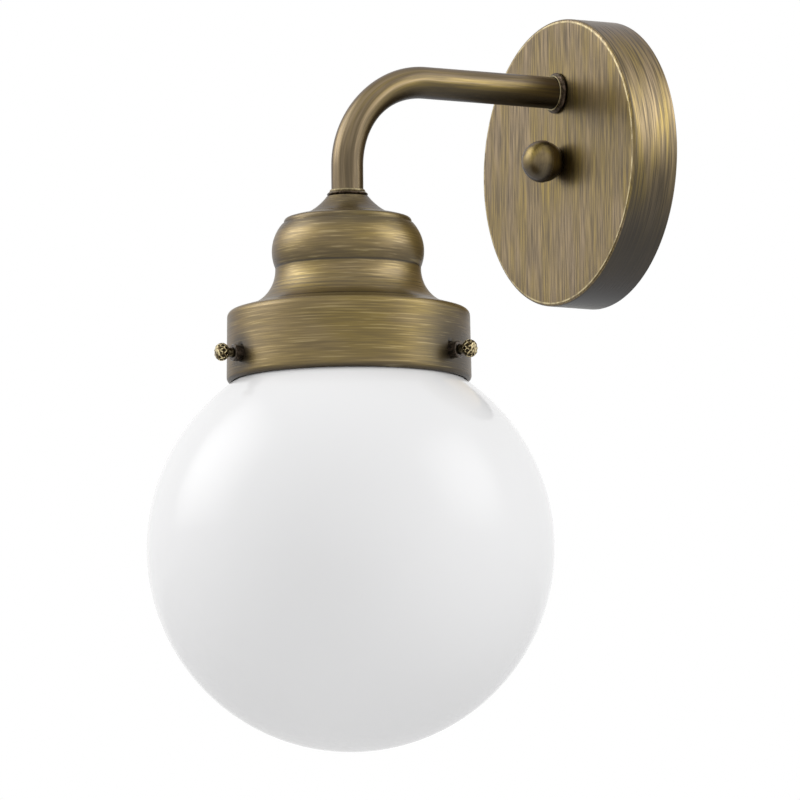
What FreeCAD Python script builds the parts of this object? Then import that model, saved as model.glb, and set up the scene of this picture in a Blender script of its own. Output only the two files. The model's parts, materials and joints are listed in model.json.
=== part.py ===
"""Globe wall sconce: a round wall canopy, a bent tube arm, a spun shade holder and an opal globe.

Millimetres. The wall is the plane Y = 0 and the light stands out of it along -Y, with +Z up.
The origin is the centre of the canopy, on the wall.
"""
import FreeCAD, Part
import math
import os

V = FreeCAD.Vector
X_AXIS, Y_AXIS, Z_AXIS = V(1, 0, 0), V(0, 1, 0), V(0, 0, 1)
ORIGIN = V(0, 0, 0)
ROOM = V(0, -1, 0)

# ---- driving dimensions -------------------------------------------------------------------
thread_gap = 0.06            # radial, a threaded rod in its nut
free_gap = 0.25              # radial, a rod or tube in a plain hole
seat_gap = 0.3               # between the glass and what holds it
nut_gap = 0.1                # under the ball nut

reach = 131.2                # wall to the globe's axis
arm_rise = 30.9              # arm's centre line above the canopy's centre

canopy_radius = 63.6
canopy_depth = 22.6
canopy_sheet = 1.0
canopy_edge_round = 1.3
hem_width = 2.4              # turned in at the wall
hem_height = 1.6

bar_sheet = 2.2
bar_width = 17.0
bar_end = 5.0                # metal past the end of a slot
slot_spacing = 79.4          # centres of the two slots: boxes with screws 70 to 89 mm apart
slot_length = 14.6
slot_width = 5.0
small_hole_radius = 1.8      # spare tapped holes of the bar
small_hole_spacing = 50.0
small_hole_rise = 4.1

stud_radius = 2.4
stud_in_ball = 8.2           # thread taken up by the ball nut
stud_point = 0.8             # chamfer on its tip
stud_nut_wall = 2.3          # hole to flat
stud_nut_height = 3.6

ball_radius = 9.4
ball_stand = 7.7             # canopy's face to the ball's centre
ball_step = 0.3              # the rear half is turned down by this
ball_spare_thread = 1.3

ground_screw_spot = 18.0     # along the bar from its centre
ground_screw_radius = 1.9
ground_head_radius = 4.6
ground_head_height = 2.4
ground_slot_width = 1.1

tube_radius = 6.9
tube_wall = 1.75
bend_radius = 40.0           # on the centre line
bend_flattening = 0.07       # in the plane of the bend, at its middle, as a share of the radius
bend_spread = 0.02           # across the plane of the bend, the same way
upright_length = 11.8        # from the bend down to the tube's end

ring_rim = 2.1               # ring stands proud of the tube by this
ring_height = 3.0
ring_seat_depth = 1.5        # the tube sinks this far into the ring
ring_bead = 1.15             # width of the rounded rim

nipple_wall = 1.7
nipple_in_tube = 9.0
nipple_past_nut = 2.0
nut_wall = 2.05              # nipple's hole to flat
nut_height = 4.0
washer_width = 2.5
washer_height = 1.0
washer_teeth = 12

cap_height = 7.7             # small cone between the neck ring and the holder
cap_foot_radius = 18.2
cap_shelf = 0.2              # cone's top stands proud of the ring
cap_sag = 0.65               # how far the flank bows inwards
cap_sheet = 0.9
cap_lip = 0.3                # upright edge at the foot

holder_sheet = 1.1
holder_turn = -3.6           # degrees that the holder is turned on its nipple
rim_radius = 53.7
rim_curl = 2.4               # radius of the rolled-in lip
rim_curl_angle = 75.0
skirt_taper = 0.4            # skirt's top is smaller than its rim by this
skirt_height = 28.8          # rim to the start of the shoulder
shoulder_round = 3.0
shoulder_slope = 16.0        # degrees
waist_radius = 32.0
waist_sweep = 17.0           # radius of the concave sweep below the waist
groove_width = 0.75
bulge_swell = 1.45           # bulge stands proud of the waist
bulge_curve = 18.3
bulge_rise = 12.0            # its widest point to its top edge
step_inset = 0.87
step_rise = 0.9
dome_edge_round = 2.0
dome_rise = 3.7              # top of the step to the flat under the cone

screw_count = 3
screw_height = 10.1          # screws' axis above the rim
shank_radius = 2.05
tip_round = 0.6
head_radius = 4.0
head_height = 4.6
head_stand_off = 2.9         # shank that shows between the bushing and the head
rib_count = 16
rib_depth = 0.35
bushing_radius = 3.7
bushing_length = 3.9
bushing_neck = 2.95          # radius through the skirt
clench_radius = 4.6          # riveted flange inside the skirt
clench_height = 0.7

globe_radius = 89.4
glass = 3.0
rim_gap = 0.4                # glass inside the holder's rim
lip_clearance = 2.4          # lip inside the skirt
lip_overhang = 3.2           # lip proud of the glass neck
lip_height = 5.2
neck_fillet = 3.5

socket_hub_wall = 2.95
socket_hub_height = 7.0
socket_cap_radius = 18.6
socket_cap_height = 17.0
socket_cap_sheet = 1.2
socket_cap_round = 4.0
socket_plug_height = 7.6     # porcelain held inside the cap
socket_flange_height = 3.0
porcelain_step = 1.5         # barrel is smaller than its flange
porcelain_round = 1.0
socket_length = 34.0         # cap to mouth
socket_bore_depth = 30.0
shell_radius = 13.25         # clear radius for the lamp's screw base
shell_wall = 0.5
shell_length = 24.0
shell_hole_radius = 6.0
contact_radius = 3.2
contact_height = 3.0
contact_clear = 0.4          # the shell's wall ends this far short of the contact's tip
terminal_radius = 2.6
terminal_height = 1.8
terminal_spot = 11.0         # from the socket's axis
terminal_slot_width = 0.8
wire_hole_radius = 1.6
wire_hole_spot = 8.5

# ---- places worked out from them ----------------------------------------------------------
globe_axis = V(0, -reach, 0)
tube_bore = tube_radius - tube_wall
nipple_radius = tube_bore - 2 * thread_gap
nipple_bore = nipple_radius - nipple_wall
nipple_hole = nipple_radius + free_gap
ring_radius = tube_radius + ring_rim
washer_radius = nipple_radius + washer_width
bar_length = slot_spacing + slot_length + 2 * bar_end

bend_start = arm_rise - bend_radius
tube_end = bend_start - upright_length
neck_ring_base = tube_end + ring_seat_depth - ring_height
cap_foot = neck_ring_base - cap_height

slope = math.radians(shoulder_slope)
skirt_top_radius = rim_radius - skirt_taper
sweep_axis_radius = waist_radius + waist_sweep
sweep_low_radius = sweep_axis_radius - waist_sweep * math.sin(slope)
shoulder_setback = shoulder_round * math.tan(math.pi / 4 - slope / 2)
slope_rise = (skirt_top_radius - sweep_low_radius) * math.tan(slope)
waist_height = skirt_height + shoulder_setback + slope_rise + waist_sweep * math.cos(slope)
bulge_axis_radius = waist_radius + bulge_swell - bulge_curve
bulge_dip = math.sqrt(bulge_curve ** 2 - (waist_radius - bulge_axis_radius) ** 2)
bulge_height = waist_height + groove_width + bulge_dip
bulge_top_radius = bulge_axis_radius + math.sqrt(bulge_curve ** 2 - bulge_rise ** 2)
step_radius = bulge_top_radius - step_inset
step_height = bulge_height + bulge_rise
dome_height = step_height + step_rise + dome_rise
rim = cap_foot - dome_height                 # level of the holder's rim
holder_ceiling = cap_foot - holder_sheet

skirt_at_screws = rim_radius - skirt_taper * screw_height / skirt_height
skirt_inside = skirt_at_screws - holder_sheet
screw_level = rim + screw_height
glass_lip_radius = skirt_top_radius - holder_sheet - lip_clearance
glass_neck_radius = glass_lip_radius - lip_overhang
lip_low = screw_level + shank_radius + seat_gap
lip_top = lip_low + lip_height
curl_angle = math.radians(rim_curl_angle)
curl_end_radius = rim_radius - rim_curl * (1 - math.cos(curl_angle))
curl_end_level = rim + rim_curl * (1 - math.sin(curl_angle))
globe_level = curl_end_level - math.sqrt((globe_radius + rim_gap) ** 2 - curl_end_radius ** 2)

hub_top = holder_ceiling - washer_height - nut_height
socket_cap_top = hub_top - socket_hub_height
socket_cap_low = socket_cap_top - socket_cap_height
plug_top = socket_cap_low + socket_plug_height
socket_mouth = socket_cap_low - socket_length
socket_floor = socket_mouth + socket_bore_depth


# ---- small helpers ------------------------------------------------------------------------
def at(radius, height):
    """A point of a half section, drawn in the XZ plane."""
    return V(radius, 0, height)


def line(a, b):
    return Part.LineSegment(a, b).toShape()


def on_circle(centre, radius, degrees):
    angle = math.radians(degrees)
    return at(centre.x + radius * math.cos(angle), centre.z + radius * math.sin(angle))


def arc(centre, radius, first, last):
    """An arc of a half section about centre, from one angle to another, in degrees."""
    middle = on_circle(centre, radius, (first + last) / 2)
    return Part.Arc(on_circle(centre, radius, first), middle, on_circle(centre, radius, last)).toShape()


def bow(a, b, sag):
    """An arc from a to b that bows to the left of the way by sag."""
    way = (b - a).normalize()
    middle = (a + b) * 0.5 + V(-way.z, 0, way.x) * sag
    return Part.Arc(a, middle, b).toShape()


def path(*points):
    """Straight edges from point to point."""
    return [line(a, b) for a, b in zip(points, points[1:])]


def turned(edges):
    """The solid that a closed half section makes about Z."""
    return Part.Face(Part.Wire(edges)).revolve(ORIGIN, Z_AXIS, 360)


def lathe(*points):
    """A turned solid whose half section has straight sides."""
    return turned(path(*[at(*point) for point in points + points[:1]]))


def spun_sheet(edges, sheet):
    """A spun shell: an outline and its offset to the inside, turned about Z."""
    section = Part.Wire(edges).makeOffset2D(sheet, 0, True, True)
    return section.revolve(ORIGIN, Z_AXIS, 360)


def rod(radius, start, way, length):
    return Part.makeCylinder(radius, length, start, way)


def sleeve(outer, bore, start, way, length):
    return rod(outer, start, way, length).cut(rod(bore, start, way, length))


def round_about(radius, count, index):
    """One of count points that stand evenly round the Z axis."""
    angle = 2 * math.pi * index / count
    return V(radius * math.cos(angle), radius * math.sin(angle), 0)


def on_globe_axis(shape):
    placed = shape.copy()
    placed.translate(globe_axis)
    return placed


def facing_room(shape, rise=0.0):
    """Turns a shape made along +Z to point into the room, from the wall."""
    placed = shape.copy()
    placed.rotate(ORIGIN, X_AXIS, 90)
    placed.translate(V(0, 0, rise))
    return placed


def hex_nut(hole, wall, height, base):
    """A hex nut along +Z, its corners turned down on both faces."""
    flat = hole + wall
    corner = flat / math.cos(math.pi / 6)
    chamfer = corner - flat
    top = base + height
    corners = [round_about(corner, 6, i) + V(0, 0, base) for i in range(6)]
    prism = Part.Face(Part.makePolygon(corners + corners[:1])).extrude(V(0, 0, height))
    barrel = lathe((hole, base), (flat, base), (corner, base + chamfer),
                   (corner, top - chamfer), (flat, top), (hole, top))
    return prism.common(barrel)


def toothed_washer(base):
    """A lock washer for the nipple, along +Z, with teeth round its edge."""
    washer = sleeve(washer_radius, nipple_hole, V(0, 0, base), Z_AXIS, washer_height)
    notch = math.pi * washer_radius / washer_teeth / 2
    notches = [rod(notch, round_about(washer_radius, washer_teeth, i) + V(0, 0, base), Z_AXIS, washer_height)
               for i in range(washer_teeth)]
    return washer.cut(Part.makeCompound(notches))


def nipple(start, way, length):
    return sleeve(nipple_radius, nipple_bore, start, way, length)


# ---- wall side ----------------------------------------------------------------------------
def canopy():
    """The spun wall canopy: flat face, small edge round and a hem at the wall."""
    edge = at(canopy_radius - canopy_edge_round, canopy_depth - canopy_edge_round)
    outline = [
        line(at(canopy_radius, 0), at(canopy_radius, edge.z)),
        arc(edge, canopy_edge_round, 0, 90),
        line(at(edge.x, canopy_depth), at(0, canopy_depth)),
    ]
    inside = canopy_radius - canopy_sheet / 2
    hem = sleeve(inside, canopy_radius - hem_width, ORIGIN, Z_AXIS, hem_height)
    pan = facing_room(spun_sheet(outline, canopy_sheet).fuse(hem).removeSplitter())
    stud_hole = rod(stud_radius + free_gap, ORIGIN, ROOM, 2 * canopy_depth)
    arm_hole = rod(nipple_hole, V(0, 0, arm_rise), ROOM, 2 * canopy_depth)
    return pan.cut(stud_hole).cut(arm_hole)


def long_hole(centre):
    """One slot of the mounting bar, along X."""
    half = (slot_length - slot_width) / 2
    corner = V(centre - half, -bar_sheet, -slot_width / 2)
    middle = Part.makeBox(2 * half, bar_sheet, slot_width, corner)
    ends = [rod(slot_width / 2, V(centre + side * half, 0, 0), ROOM, bar_sheet) for side in (-1, 1)]
    return middle.fuse(ends)


def mounting_bar():
    """The strap that screws to the wall box, with its slots and tapped holes."""
    half_width = bar_width / 2
    half = bar_length / 2 - half_width
    outline = Part.Wire([
        line(V(-half, 0, -half_width), V(half, 0, -half_width)),
        Part.Arc(V(half, 0, -half_width), V(bar_length / 2, 0, 0), V(half, 0, half_width)).toShape(),
        line(V(half, 0, half_width), V(-half, 0, half_width)),
        Part.Arc(V(-half, 0, half_width), V(-bar_length / 2, 0, 0), V(-half, 0, -half_width)).toShape(),
    ])
    holes = [
        rod(stud_radius + thread_gap, ORIGIN, ROOM, bar_sheet),
        rod(ground_screw_radius + thread_gap, V(-ground_screw_spot, 0, 0), ROOM, bar_sheet),
    ]
    for side in (-1, 1):
        holes.append(long_hole(side * slot_spacing / 2))
        spot = V(side * small_hole_spacing / 2, 0, side * small_hole_rise)
        holes.append(rod(small_hole_radius, spot, ROOM, bar_sheet))
    return Part.Face(outline).extrude(ROOM * bar_sheet).cut(Part.makeCompound(holes))


def ground_screw():
    """The slotted earth screw, driven down to the back of the bar."""
    top = bar_sheet + ground_head_height
    dome = 0.4 * ground_head_height
    head = turned([
        line(at(0, bar_sheet), at(ground_head_radius, bar_sheet)),
        line(at(ground_head_radius, bar_sheet), at(ground_head_radius, top - dome)),
        bow(at(ground_head_radius, top - dome), at(0, top), -dome / 4),
        line(at(0, top), at(0, bar_sheet)),
    ])
    groove_depth = ground_head_height / 2
    groove = Part.makeBox(2 * ground_head_radius, ground_slot_width, groove_depth,
                          V(-ground_head_radius, -ground_slot_width / 2, top - groove_depth))
    screw = head.fuse(rod(ground_screw_radius, ORIGIN, Z_AXIS, bar_sheet)).cut(groove)
    screw = facing_room(screw)
    screw.translate(V(-ground_screw_spot, 0, 0))
    return screw


def center_stud():
    """The threaded post from the bar to the ball nut."""
    tip = canopy_depth + stud_in_ball
    return facing_room(lathe((0, 0), (stud_radius, 0), (stud_radius, tip - stud_point),
                             (stud_radius - stud_point, tip), (0, tip)))


def stud_lock_nut():
    return facing_room(hex_nut(stud_radius + thread_gap, stud_nut_wall, stud_nut_height, bar_sheet))


def ball_nut():
    """The round nut that holds the canopy: a fine step round its middle and a flat seat."""
    centre = at(0, canopy_depth + ball_stand)
    seat = canopy_depth + nut_gap
    rear = ball_radius - ball_step
    foot_angle = -math.degrees(math.asin((centre.z - seat) / rear))
    foot = on_circle(centre, rear, foot_angle)
    hole = stud_radius + thread_gap
    hole_end = canopy_depth + stud_in_ball + ball_spare_thread
    return facing_room(turned([
        line(at(hole, seat), foot),
        arc(centre, rear, foot_angle, 0),
        line(at(rear, centre.z), at(ball_radius, centre.z)),
        arc(centre, ball_radius, 0, 90),
    ] + path(at(0, centre.z + ball_radius), at(0, hole_end), at(hole, hole_end), at(hole, seat))))


# ---- arm ----------------------------------------------------------------------------------
def ring(base):
    """A turned ring along +Z: rounded rim, hole for the nipple and a counterbore for the tube."""
    top = base + ring_height
    seat = tube_radius + free_gap
    floor = top - ring_seat_depth
    land = ring_radius - ring_bead
    return turned([
        line(at(nipple_hole, base), at(land, base)),
        bow(at(land, base), at(land, top), -ring_bead),
    ] + path(at(land, top), at(seat, top), at(seat, floor), at(nipple_hole, floor), at(nipple_hole, base)))


def canopy_ring():
    return facing_room(ring(canopy_depth), arm_rise)


def neck_ring():
    return on_globe_axis(ring(neck_ring_base))


def bend_section(radius, angle):
    """The tube's section part of the way round the bend, where it is pressed a little flat."""
    share = math.sin(2 * angle) ** 2
    across = radius * (1 + bend_spread * share)
    in_plane = radius * (1 - bend_flattening * share)
    section = Part.Wire(Part.Ellipse(ORIGIN, across, in_plane).toShape())
    section.rotate(ORIGIN, X_AXIS, -math.degrees(angle))
    forward = bend_radius * (1 - math.cos(angle))
    section.translate(V(0, forward - reach, bend_start + bend_radius * math.sin(angle)))
    return section


def arm_run(radius, past_ends=0.0):
    """The whole run of the arm as one solid: upright, quarter bend and level stretch."""
    steps = 8
    sections = [bend_section(radius, math.pi / 2 * i / steps) for i in range(steps + 1)]
    low = tube_end - past_ends
    wall_end = -canopy_depth - ring_height + ring_seat_depth + past_ends
    bend_end = bend_radius - reach
    upright = rod(radius, V(0, -reach, low), Z_AXIS, bend_start - low)
    level = rod(radius, V(0, bend_end, arm_rise), Y_AXIS, wall_end - bend_end)
    return Part.makeLoft(sections, True).fuse([upright, level])


def arm_tube():
    """The bent tube: the outer run less the bore, which flattens with it in the bend."""
    return arm_run(tube_radius).cut(arm_run(tube_bore, tube_wall))


def wall_nipple():
    """Joins the arm to the canopy."""
    front = -canopy_depth - ring_height + ring_seat_depth - nipple_in_tube
    back = canopy_sheet + washer_height + nut_height + nipple_past_nut - canopy_depth
    return nipple(V(0, front, arm_rise), Y_AXIS, back - front)


def wall_lock_washer():
    return facing_room(toothed_washer(canopy_depth - canopy_sheet - washer_height), arm_rise)


def wall_hex_nut():
    base = canopy_depth - canopy_sheet - washer_height - nut_height
    return facing_room(hex_nut(nipple_radius + thread_gap, nut_wall, nut_height, base), arm_rise)


def lower_nipple():
    """Joins the arm, the shade holder and the lamp socket."""
    return nipple(V(0, -reach, socket_cap_top), Z_AXIS, tube_end + nipple_in_tube - socket_cap_top)


def holder_lock_washer():
    return on_globe_axis(toothed_washer(holder_ceiling - washer_height))


def holder_hex_nut():
    return on_globe_axis(hex_nut(nipple_radius + thread_gap, nut_wall, nut_height, hub_top))


# ---- shade holder -------------------------------------------------------------------------
def neck_cap():
    """The small spun cone between the neck ring and the holder."""
    top_radius = ring_radius + cap_shelf
    inner_foot = cap_foot_radius - 1.3 * cap_sheet
    inner_top = top_radius - cap_sheet
    ceiling = neck_ring_base - cap_sheet
    return on_globe_axis(turned([
        line(at(nipple_hole, neck_ring_base), at(top_radius, neck_ring_base)),
        bow(at(top_radius, neck_ring_base), at(cap_foot_radius, cap_foot + cap_lip), -cap_sag),
        line(at(cap_foot_radius, cap_foot + cap_lip), at(cap_foot_radius, cap_foot)),
        line(at(cap_foot_radius, cap_foot), at(inner_foot, cap_foot)),
        bow(at(inner_foot, cap_foot), at(inner_top, ceiling), cap_sag),
        line(at(inner_top, ceiling), at(nipple_hole, ceiling)),
        line(at(nipple_hole, ceiling), at(nipple_hole, neck_ring_base)),
    ]))


def holder_outline():
    """The outside of the spun holder, from its rolled rim up to the flat under the cone."""
    curl = at(rim_radius - rim_curl, rim + rim_curl)
    skirt_top = at(skirt_top_radius, rim + skirt_height)
    shoulder = at(skirt_top_radius - shoulder_round, skirt_top.z)
    sweep = at(sweep_axis_radius, rim + waist_height)
    bulge = at(bulge_axis_radius, rim + bulge_height)
    dip_angle = -math.degrees(math.asin(bulge_dip / bulge_curve))
    top_angle = math.degrees(math.asin(bulge_rise / bulge_curve))
    step_low = at(step_radius, rim + step_height)
    dome_edge = at(step_radius - dome_edge_round, rim + step_height + step_rise)
    edge_angle = 70
    edge_end = on_circle(dome_edge, dome_edge_round, edge_angle)
    return [
        arc(curl, rim_curl, -rim_curl_angle, 0),
        line(at(rim_radius, curl.z), skirt_top),
        arc(shoulder, shoulder_round, 0, 90 - shoulder_slope),
        line(on_circle(shoulder, shoulder_round, 90 - shoulder_slope),
             on_circle(sweep, waist_sweep, 270 - shoulder_slope)),
        arc(sweep, waist_sweep, 270 - shoulder_slope, 180),
        line(at(waist_radius, sweep.z), at(waist_radius, sweep.z + groove_width)),
        arc(bulge, bulge_curve, dip_angle, top_angle),
        line(on_circle(bulge, bulge_curve, top_angle), step_low),
        line(step_low, at(step_radius, dome_edge.z)),
        arc(dome_edge, dome_edge_round, 0, edge_angle),
        bow(edge_end, at(cap_foot_radius, cap_foot), -dome_edge_round / 8),
        line(at(cap_foot_radius, cap_foot), at(nipple_hole, cap_foot)),
    ]


def round_the_holder(shape, index):
    """Turns a piece made along +X to its place at one of the clamp screws."""
    placed = shape.copy()
    placed.rotate(ORIGIN, Z_AXIS, holder_turn - 90 + index * 360 / screw_count)
    placed.translate(globe_axis + V(0, 0, screw_level))
    return placed


def shade_holder():
    """The spun holder with a hole for each bushing."""
    shell = on_globe_axis(spun_sheet(holder_outline(), holder_sheet))
    hole = rod(bushing_neck, V(waist_radius, 0, 0), X_AXIS, rim_radius)
    holes = [round_the_holder(hole, index) for index in range(screw_count)]
    return shell.cut(Part.makeCompound(holes))


def bushing():
    """A threaded bushing riveted into the skirt, along +X."""
    outer = rod(bushing_radius, V(skirt_inside, 0, 0), X_AXIS, holder_sheet + bushing_length)
    neck = rod(bushing_neck, V(skirt_inside - clench_height, 0, 0), X_AXIS, holder_sheet + 2 * clench_height)
    flange = rod(clench_radius, V(skirt_inside - clench_height, 0, 0), X_AXIS, clench_height)
    span = 4 * clench_radius
    outside_skirt = Part.makeCylinder(rim_radius, span, V(0, 0, -span / 2))
    inside_skirt = Part.makeCylinder(skirt_top_radius - holder_sheet, span, V(0, 0, -span / 2))
    bore = rod(shank_radius + thread_gap, V(waist_radius, 0, 0), X_AXIS, rim_radius)
    return outer.cut(outside_skirt).fuse([neck, flange.common(inside_skirt)]).cut(bore)


def screw_bushings():
    return Part.makeCompound([round_the_holder(bushing(), index) for index in range(screw_count)])


def thumb_screw(index):
    """A clamp screw: plain shank and a rounded head with ribs round it."""
    tip = glass_neck_radius + seat_gap
    head = skirt_at_screws + bushing_length + head_stand_off
    end = head + head_height
    face = 0.72 * head_radius
    body = turned([
        line(at(0, tip), at(shank_radius - tip_round, tip)),
        line(at(shank_radius - tip_round, tip), at(shank_radius, tip + tip_round)),
        line(at(shank_radius, tip + tip_round), at(shank_radius, head)),
        line(at(shank_radius, head), at(face, head)),
        bow(at(face, head), at(face, end), face - head_radius),
        line(at(face, end), at(0, end)),
        line(at(0, end), at(0, tip)),
    ])
    groove = math.pi * head_radius / rib_count / 2
    spot = head_radius - rib_depth + groove
    grooves = [rod(groove, round_about(spot, rib_count, i) + V(0, 0, head), Z_AXIS, head_height)
               for i in range(rib_count)]
    screw = body.cut(Part.makeCompound(grooves))
    screw.rotate(ORIGIN, Y_AXIS, 90)
    return round_the_holder(screw, index)


# ---- glass and lamp socket ----------------------------------------------------------------
def globe_skin(radius, neck_radius, fillet, top):
    """One skin of the glass as edges, from the bottom of the ball up its neck to the lip."""
    centre = at(0, globe_level)
    reach_out = neck_radius + fillet
    rise = math.sqrt((radius + fillet) ** 2 - reach_out ** 2)
    turn = math.degrees(math.atan2(rise, reach_out))
    hollow = at(reach_out, globe_level + rise)
    return [
        arc(centre, radius, -90, turn),
        arc(hollow, fillet, 180 + turn, 180),
        line(at(neck_radius, hollow.z), at(neck_radius, top)),
    ]


def globe():
    """Opal glass: a ball with a short neck and a rounded lip that hangs on the clamp screws."""
    bore = glass_neck_radius - glass
    shoulder = lip_low + lip_overhang
    crown = lip_top - shoulder
    outside = globe_skin(globe_radius, glass_neck_radius, neck_fillet, lip_low)
    inside = globe_skin(globe_radius - glass, bore, neck_fillet + glass, lip_top)
    lip = [
        bow(at(glass_neck_radius, lip_low), at(glass_lip_radius, shoulder), -lip_overhang / 5),
        bow(at(glass_lip_radius, shoulder), at(glass_lip_radius - crown, lip_top), -crown / 5),
        line(at(glass_lip_radius - crown, lip_top), at(bore, lip_top)),
    ]
    floor = line(at(0, globe_level - globe_radius), at(0, globe_level - globe_radius + glass))
    return on_globe_axis(turned(Part.__sortEdges__(outside + lip + inside + [floor])))


def socket_cap():
    """The drawn cup that carries the porcelain, with its hub on the nipple."""
    edge = at(socket_cap_radius - socket_cap_round, socket_cap_top - socket_cap_round)
    hole = nipple_radius + thread_gap
    cup = spun_sheet([
        line(at(socket_cap_radius, socket_cap_low), at(socket_cap_radius, edge.z)),
        arc(edge, socket_cap_round, 0, 90),
        line(at(edge.x, socket_cap_top), at(hole, socket_cap_top)),
    ], socket_cap_sheet)
    hub = sleeve(hole + socket_hub_wall, hole, V(0, 0, socket_cap_top), Z_AXIS, socket_hub_height)
    return on_globe_axis(cup.fuse(hub))


def socket_body():
    """The porcelain barrel with its flange, its bore and two wire holes."""
    plug = socket_cap_radius - socket_cap_sheet - thread_gap
    barrel = socket_cap_radius - porcelain_step
    flange_low = socket_cap_low - socket_flange_height
    bore = shell_radius + shell_wall + thread_gap
    body = lathe(
        (0, plug_top), (plug, plug_top), (plug, socket_cap_low), (socket_cap_radius, socket_cap_low),
        (socket_cap_radius, flange_low), (barrel, flange_low - porcelain_step),
        (barrel, socket_mouth + porcelain_round), (barrel - porcelain_round, socket_mouth),
        (bore, socket_mouth), (bore, socket_floor), (0, socket_floor))
    holes = [rod(wire_hole_radius, V(0, side * wire_hole_spot, socket_floor), Z_AXIS, plug_top - socket_floor)
             for side in (-1, 1)]
    return on_globe_axis(body.cut(Part.makeCompound(holes)))


def socket_shell():
    """The screw shell that takes the lamp: a thin cup, open at the mouth and drawn in round the contact."""
    outer = shell_radius + shell_wall
    low = socket_floor - shell_length
    ceiling = socket_floor - shell_wall
    shoulder = contact_height + contact_clear
    bend = socket_floor - shoulder
    return on_globe_axis(lathe((shell_radius, low), (outer, low), (outer, bend),
                               (outer - shoulder, socket_floor), (shell_hole_radius, socket_floor),
                               (shell_hole_radius, ceiling), (shell_radius - shoulder, ceiling),
                               (shell_radius, bend)))


def center_contact():
    """The brass contact in the middle of the socket's floor."""
    low = socket_floor - contact_height
    return on_globe_axis(lathe((0, socket_floor), (contact_radius, socket_floor),
                               (contact_radius, low + contact_height / 2),
                               (contact_radius / 2, low), (0, low)))


def terminal_screws():
    """Two binding screws on the porcelain, inside the cap."""
    top = plug_top + terminal_height
    slot_depth = terminal_height / 2
    screws = []
    for side in (-1, 1):
        spot = V(side * terminal_spot, 0, plug_top)
        corner = V(spot.x - terminal_radius, -terminal_slot_width / 2, top - slot_depth)
        slot = Part.makeBox(2 * terminal_radius, terminal_slot_width, slot_depth, corner)
        screws.append(on_globe_axis(rod(terminal_radius, spot, Z_AXIS, terminal_height).cut(slot)))
    return Part.makeCompound(screws)


# ---- export -------------------------------------------------------------------------------
PIECES = (canopy, mounting_bar, ground_screw, center_stud, stud_lock_nut, ball_nut, canopy_ring,
          arm_tube, wall_nipple, wall_lock_washer, wall_hex_nut, neck_ring, neck_cap, lower_nipple,
          shade_holder, holder_lock_washer, holder_hex_nut, screw_bushings, globe, socket_cap,
          socket_body, socket_shell, center_contact, terminal_screws)


def main():
    os.makedirs("parts", exist_ok=True)
    shapes = {piece.__name__: piece() for piece in PIECES}
    for index, side in enumerate(("front", "right", "left")):
        shapes["thumb_screw_" + side] = thumb_screw(index)
    for name, shape in shapes.items():
        shape.exportStep(os.path.join("parts", name + ".step"))


main()
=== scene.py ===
"""Dresses a globe wall sconce: antique brass canopy, bent arm and spun bell, and an opal glass globe.

Metres. The wall is the plane Y = 0 and the light stands out of it along -Y, with +Z up.
"""
import json
import math

import bmesh
import bpy
from bpy.props import FloatProperty, FloatVectorProperty, IntProperty, PointerProperty
from mathutils import Matrix, Vector


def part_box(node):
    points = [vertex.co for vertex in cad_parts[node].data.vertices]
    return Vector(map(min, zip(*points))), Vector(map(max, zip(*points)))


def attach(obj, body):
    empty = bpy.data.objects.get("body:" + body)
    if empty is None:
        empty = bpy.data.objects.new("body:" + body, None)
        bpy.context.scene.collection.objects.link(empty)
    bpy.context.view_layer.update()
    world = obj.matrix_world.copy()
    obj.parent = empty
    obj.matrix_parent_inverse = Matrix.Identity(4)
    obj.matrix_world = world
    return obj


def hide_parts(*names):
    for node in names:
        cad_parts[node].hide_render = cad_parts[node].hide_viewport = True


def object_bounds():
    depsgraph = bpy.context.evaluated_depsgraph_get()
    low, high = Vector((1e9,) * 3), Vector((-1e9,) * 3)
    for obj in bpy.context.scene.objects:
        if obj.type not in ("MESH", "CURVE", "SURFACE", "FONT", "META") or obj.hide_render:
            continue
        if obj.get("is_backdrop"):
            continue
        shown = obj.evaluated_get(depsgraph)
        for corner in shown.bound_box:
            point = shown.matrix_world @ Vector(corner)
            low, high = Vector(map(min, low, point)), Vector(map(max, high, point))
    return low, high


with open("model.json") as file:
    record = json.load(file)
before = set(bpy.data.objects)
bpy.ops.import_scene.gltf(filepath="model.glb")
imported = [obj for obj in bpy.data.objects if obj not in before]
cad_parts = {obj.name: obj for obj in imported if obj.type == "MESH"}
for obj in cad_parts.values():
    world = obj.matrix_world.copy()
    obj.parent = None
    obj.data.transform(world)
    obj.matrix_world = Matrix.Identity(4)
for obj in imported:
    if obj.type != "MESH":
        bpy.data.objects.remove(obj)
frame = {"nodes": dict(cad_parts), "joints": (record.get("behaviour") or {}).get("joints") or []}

bl_info = {
    "name": "Globe wall sconce",
    "version": (1, 0, 0),
    "blender": (4, 5, 0),
    "location": "3D View > Sidebar > Sconce",
    "description": "Builds the visible pieces and finishes of a globe wall sconce round its packed frame",
    "category": "Add Mesh",
}

ORIGIN = Vector((0, 0, 0))
UP = Vector((0, 0, 1))
ROOM = Vector((0, -1, 0))
SIDES = ("front", "right", "left")


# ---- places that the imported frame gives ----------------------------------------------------
def middle(node):
    low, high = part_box(node)
    return (low + high) / 2


def half_width(node):
    low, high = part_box(node)
    return (high.x - low.x) / 2


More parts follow.
